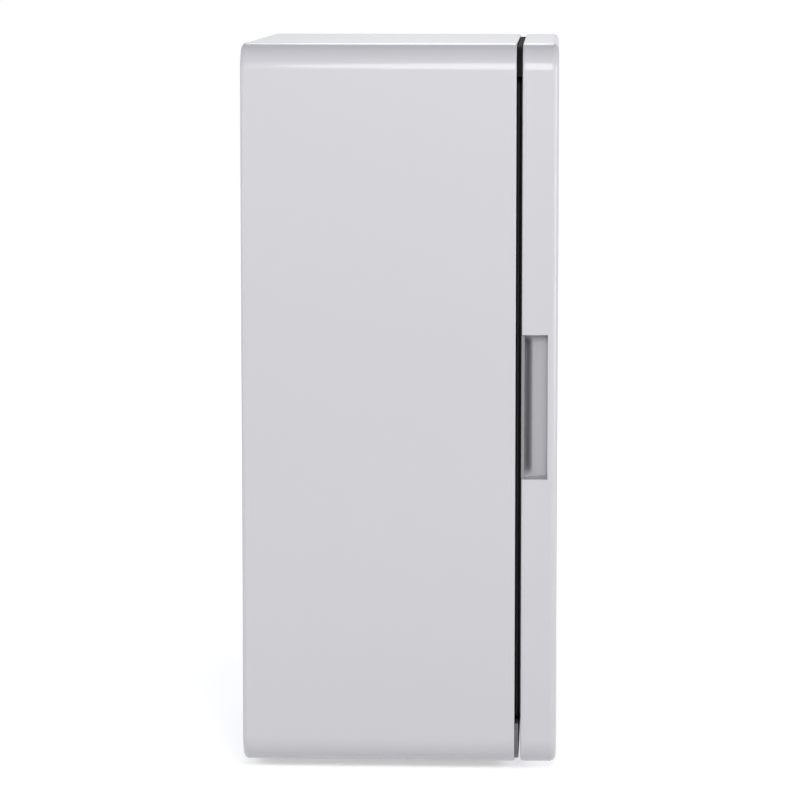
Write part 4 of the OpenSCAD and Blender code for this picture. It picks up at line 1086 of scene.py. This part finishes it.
def tray(name, low, high, wall, corner, taper, rim, foot=3 * MM):
    """A moulded clear tray: rounded base, walls that lean out, and a rolled rim."""
    steps = 6
    rings = []
    for k in range(steps + 1):
        t = math.radians(90 * k / steps)
        rise = foot * (1 - math.cos(t))
        rings.append(flat_ring(low, high, corner, low.z + rise, taper + foot * (1 - math.sin(t))))
    rim_z = high.z - rim * 2.2
    rings.append(flat_ring(low, high, corner, rim_z, rim))
    for k in range(steps + 1):
        t = math.radians(180 * k / steps)
        across = rim + (wall + rim) / 2 * (1 - math.cos(t)) - rim
        rings.append(flat_ring(low, high, corner, high.z - rim * 0.8 + rim * 0.8 * math.sin(t), across))
    rings.append(flat_ring(low, high, corner, rim_z, wall + rim))
    for k in range(steps + 1):
        t = math.radians(90 * k / steps)
        rise = wall + (foot - wall * 0.5) * (1 - math.sin(t))
        rings.append(flat_ring(low, high, corner, low.z + rise, taper + wall + foot * (1 - math.cos(t))))
    return loft(name, rings)


EAR_OVER = 5.7 * MM


def door_bin(node):
    """A clear door bin with its back cut down, ribs on its front and ears that hang on the liner's lugs."""
    low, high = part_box(node)
    inner_low, inner_high = low + Vector((EAR_OVER, 0, 0)), high - Vector((EAR_OVER, 0, 0))
    body = tray("bin", inner_low, inner_high, 2 * MM, 9 * MM, 2.5 * MM, 1 * MM)
    height = high.z - low.z
    # the door's side of the bin is at its low Y
    over, depth, margin = 8 * MM, 4.5 * MM, 14 * MM
    cut_low, cut_high = low.z + 0.72 * height, high.z + over
    cut_w = inner_high.x - inner_low.x - 2 * margin
    rings = [ring(cut_w, cut_high - cut_low, 5 * MM, y, (cut_low + cut_high) / 2, steps=6)
             for y in (low.y - over, low.y + depth)]
    cut_away(body, loft("cut", rings))
    rib_end, rib_w = 16 * MM, 1.6 * MM
    rib_low = Vector((inner_low.x + rib_end, high.y - 1.2 * MM, low.z + 10 * MM))
    rib_run = inner_high.x - inner_low.x - 2 * rib_end
    rib = box_piece("rib", rib_low, rib_low + Vector((rib_run, 1.1 * MM, rib_w)))
    bevelled(rib, 0.5 * MM, 2)
    ROW.grow(rib, FINISHES["clear_plastic"], Count=4, Step=(0.0, 0.0, 5 * MM))
    ears = []
    for side in (-1, 1):
        x = sorted((side * (inner_high.x - 1.5 * MM), side * high.x))
        top = high.z - 10 * MM
        ear = box_piece(
            "ear",
            (x[0], low.y + 7.7 * MM, top + 0.3 * MM),
            (x[1], low.y + 21.7 * MM, top + 4 * MM),
        )
        ears.append(bevelled(ear, 0.8 * MM, 2))
    take_over(smooth(joined(node + ".tray", body, rib, *ears), 35), node)


for level in ("upper", "middle", "lower"):
    door_bin("door_bin_" + level)


def drawer():
    """The fruit drawer, with a rolled rim and a wide finger rail across its front."""
    node = "crisper_drawer"
    low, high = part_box(node)
    front = Vector((low.x, low.y + 2 * MM, low.z))
    body = tray("drawer", front, high, 2.2 * MM, 12 * MM, 3 * MM, 1.2 * MM, foot=6 * MM)
    rail_end, grip = 6 * MM, 60 * MM
    rail_low = Vector((low.x + rail_end, low.y, high.z - 16 * MM))
    rail = box_piece("rail", rail_low, (high.x - rail_end, low.y + 4 * MM, high.z))
    scoop = box_piece(
        "scoop",
        (-grip, low.y - 1 * MM, high.z - 18 * MM),
        (grip, low.y + 2.2 * MM, high.z - 4 * MM),
    )
    bevelled(scoop, 1.5 * MM, 3)
    cut_away(rail, scoop)
    bevelled(rail, 1.0 * MM, 3)
    rib_end, pitch = 30 * MM, 20 * MM
    rib_low = Vector((low.x + rib_end, front.y + 0.4 * MM, low.z + 14 * MM))
    rib = box_piece("rib", rib_low, rib_low + Vector((1.6 * MM, 1.2 * MM, high.z - low.z - 38 * MM)))
    bevelled(rib, 0.5 * MM, 2)
    count = int((high.x - low.x - 2 * rib_end) / pitch) + 1
    ROW.grow(rib, FINISHES["clear_plastic"], Count=count, Step=(pitch, 0.0, 0.0))
    take_over(smooth(joined("fruit_drawer", body, rail, rib), 35), node)


drawer()


# ---- knob, dial and feet


def knob():
    """Fluted temperature knob with a raised pointer."""
    node = "thermostat_knob"
    low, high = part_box(node)
    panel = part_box("control_housing")[0].y
    radius = (high.x - low.x) / 2
    centre = Vector(((low.x + high.x) / 2, 0, (low.z + high.z) / 2))
    ridge, round_off, core = 2.4 * MM, 2 * MM, 0.5 * MM
    face, back = low.y + ridge, panel - 0.6 * MM
    profile = [(core, face + 0.6 * MM), (radius * 0.62, face + 0.5 * MM), (radius * 0.68, face)]
    for k in range(7):
        t = math.radians(90 * k / 6)
        across = radius - round_off * (1 - math.sin(t)) - 0.3 * MM
        profile.append((across, face + round_off * (1 - math.cos(t))))
    profile += [(radius - 0.05 * MM, back - 1 * MM), (radius - 0.4 * MM, back), (core, back)]
    grip = lathe("grip", profile, centre, steps=192, flutes=24, flute_depth=0.6 * MM)
    shaft = lathe("shaft", [(3 * MM, back - 1 * MM), (3 * MM, high.y)], centre, steps=24)
    pointer = box_piece(
        "pointer",
        (centre.x - 1 * MM, low.y + 0.3 * MM, centre.z + 1 * MM),
        (centre.x + 1 * MM, face + 1.5 * MM, centre.z + radius - 2.5 * MM),
    )
    bevelled(pointer, 0.6 * MM, 3)
    take_over(smooth(joined("temperature_knob", grip, shaft, pointer), 35), node)
    top = panel - 0.25 * MM
    profile = [(0.3 * MM, top), (1.0 * MM, top), (1.1 * MM, panel + 0.3 * MM)]
    dot = lathe("dot", profile, centre + Vector((0, 0, radius + 2.6 * MM)), steps=16)
    WHEEL.grow(dot, FINISHES["pull"], Count=9, Centre=tuple(centre))
    new_piece(smooth(dot, 35), "control_housing", "trim", DIAL)


DIAL = moulded("dial_grey", (0.22, 0.22, 0.24), 0.5)
knob()


def feet():
    """Ribbed rubber feet."""
    made = []
    for low, high in islands("feet"):
        middle = (low + high) / 2
        middle.z = 0.0
        radius = (high.x - low.x) / 2
        top = high.z
        hollow = 5 * MM
        profile = [(hollow, low.z + 1.5 * MM), (6 * MM, low.z)]
        for k in range(4):
            start = 6.5 * MM + 1.6 * MM * k
            groove = low.z + 0.6 * MM
            profile += [(start, low.z), (start + 0.3 * MM, groove), (start + 0.8 * MM, groove)]
        profile += [
            (radius - 1.4 * MM, low.z), (radius - 0.9 * MM, low.z + 0.7 * MM), (radius, top - 2 * MM),
            (radius, top - 0.4 * MM), (radius - 0.4 * MM, top), (hollow, top),
        ]
        made.append(lathe("foot", profile, middle, axis="Z", steps=48))
    take_over(smooth(joined("rubber_feet", *made), 30), "feet")


feet()


# ---- soft edges on the other pieces

# radii in millimetres
EDGE_WIDTHS = {
    "front_frame": 0.6, "upper_gap_trim": 0.6, "lower_gap_plate": 0.5, "inner_liner": 1.2,
    "door_liner": 1.2, "hot_fan_housing": 0.6, "cold_fan_housing": 0.5, "thermostat": 0.5,
    "light_lens": 0.5, "control_board": 0.3, "control_housing": 1.5, "power_inlet": 0.3,
    "switch_bezel": 0.3, "power_rocker": 0.4, "drip_cup": 0.6, "power_supply": 0.8,
    "upper_hinge_bracket": 0.4, "lower_hinge_bracket": 0.4, "shelf_trim_upper": 0.8,
    "shelf_trim_lower": 0.8, "crisper_cover_trim": 0.8, "shelf_glass_upper": 0.6,
    "shelf_glass_lower": 0.6, "crisper_cover_glass": 0.6, "temperature_sensor": 0.5,
}
SPECIAL_FINISH = {"upper_gap_trim": gap_black(), "light_lens": lamp_lens()}
SPECIAL_FINISH["front_frame"] = SPECIAL_FINISH["upper_gap_trim"]
for node, width in EDGE_WIDTHS.items():
    softened(node, width * MM, finish=SPECIAL_FINISH.get(node))

for node, cad_object in frame["nodes"].items():
    cad_object.data.materials.clear()
    cad_object.data.materials.append(FINISHES[SLOT_OF[node]])


# ---- stage, light and camera


FLOOR_GLOW = 0.62
FLOOR_RADIUS = 40.0


def floor():
    """A wide pale floor that glows into the horizon, with a painted contact shadow where its glow dims near
    the object, and sends no diffuse light up the sides.
    """
    bm = bmesh.new()
    bmesh.ops.create_circle(bm, cap_ends=True, segments=96, radius=FLOOR_RADIUS)
    piece = mesh_from("floor", bm)
    finish = Finish("pale_floor")
    soft = finish.noise(0.8, 2.0)
    away = finish.node("ShaderNodeVectorMath", {"operation": "LENGTH"}, {0: finish.place()}, output="Value")
    # Painted shadow: a factor that is 0 near the middle and 1 from a metre out.
    painted_shadow_fade = finish.node(
        "ShaderNodeMapRange",
        {"interpolation_type": "SMOOTHSTEP"},
        {"Value": away, "From Min": 0.25, "From Max": 1.0},
    )
    finish.set(
        base_color=finish.blend(soft, (0.90, 0.90, 0.905, 1), (0.92, 0.92, 0.925, 1)),
        roughness=0.85 + 0.05 * soft,
        # Painted contact shadow: the glow is dimmer near the object.
        emission_color=finish.blend(painted_shadow_fade, (0.78, 0.78, 0.785, 1), (1.0, 1.0, 1.0, 1)),
        emission_strength=FLOOR_GLOW,
    )
    piece.data.materials.append(finish.material)
    piece.visible_diffuse = False


def studio_world():
    """A bright band round the horizon, a dimmer ceiling, and a dimmer glow from below."""
    world = bpy.data.worlds.new("studio")
    world.use_nodes = True
    tree = world.node_tree
    background = tree.nodes["Background"]
    place = tree.nodes.new("ShaderNodeTexCoord")
    split = tree.nodes.new("ShaderNodeSeparateXYZ")
    ramp = tree.nodes.new("ShaderNodeValToRGB")
    tree.links.new(place.outputs["Generated"], split.inputs[0])
    height = 0.5 * Value(tree, split.outputs["Z"]) + 0.5
    tree.links.new(height.socket, ramp.inputs["Fac"])
    tree.links.new(ramp.outputs["Color"], background.inputs["Color"])
    ramp.color_ramp.interpolation = "EASE"
    low, high = ramp.color_ramp.elements
    low.position, low.color = 0.38, (0.55, 0.55, 0.56, 1)
    high.position, high.color = 0.71, (0.36, 0.365, 0.39, 1)
    for position in (0.47, 0.55):
        ramp.color_ramp.elements.new(position).color = (1.0, 1.0, 1.0, 1)
    background.inputs["Strength"].default_value = 1.0
    bpy.context.scene.world = world


def soft_light(name, place, aim, size, watts, tall=None):
    """A round soft box, or an upright strip when it has a height of its own."""
    lamp = bpy.data.lights.new(name, "AREA")
    lamp.shape = "RECTANGLE" if tall else "DISK"
    lamp.size = size
    lamp.size_y = tall or size
    lamp.energy = watts
    piece = bpy.data.objects.new(name, lamp)
    bpy.context.scene.collection.objects.link(piece)
    piece.location = place
    piece.rotation_euler = (Vector(aim) - Vector(place)).to_track_quat("-Z", "Y").to_euler()


def camera():
    """Seen from the opening side, a little above the top and just behind the plane of the door."""
    away = 3.5
    turn, tilt = math.radians(2.52), math.radians(6.19)
    lens = bpy.data.cameras.new("view")
    lens.sensor_width = 36.0
    lens.lens = 159.4
    lens.shift_y = -0.08
    lens.clip_end = 100.0
    piece = bpy.data.objects.new("view", lens)
    bpy.context.scene.collection.objects.link(piece)
    piece.location = (shell_low.x - away, door_low.y + 3 * MM, shell_high.z + 90 * MM)
    heading = Vector((math.cos(turn) * math.cos(tilt), math.sin(turn) * math.cos(tilt), -math.sin(tilt)))
    piece.rotation_euler = heading.to_track_quat("-Z", "Y").to_euler()
    bpy.context.scene.camera = piece


floor()
studio_world()
soft_light("key", (-2.2, -0.2, 1.5), (-0.2, 0, 0.6), 1.0, 16.5)
soft_light("top_glow", (2.3, 0.0, 2.1), (0, 0, 0.73), 1.0, 8)
soft_light("front_strip", (-1.0, -2.2, 0.7), (0, 0, 0.7), 0.4, 16, tall=1.3)
soft_light("rear_strip", (-1.6, 1.7, 0.7), (0, 0, 0.7), 0.25, 8, tall=1.3)
camera()
bpy.context.scene.view_settings.view_transform = "Standard"
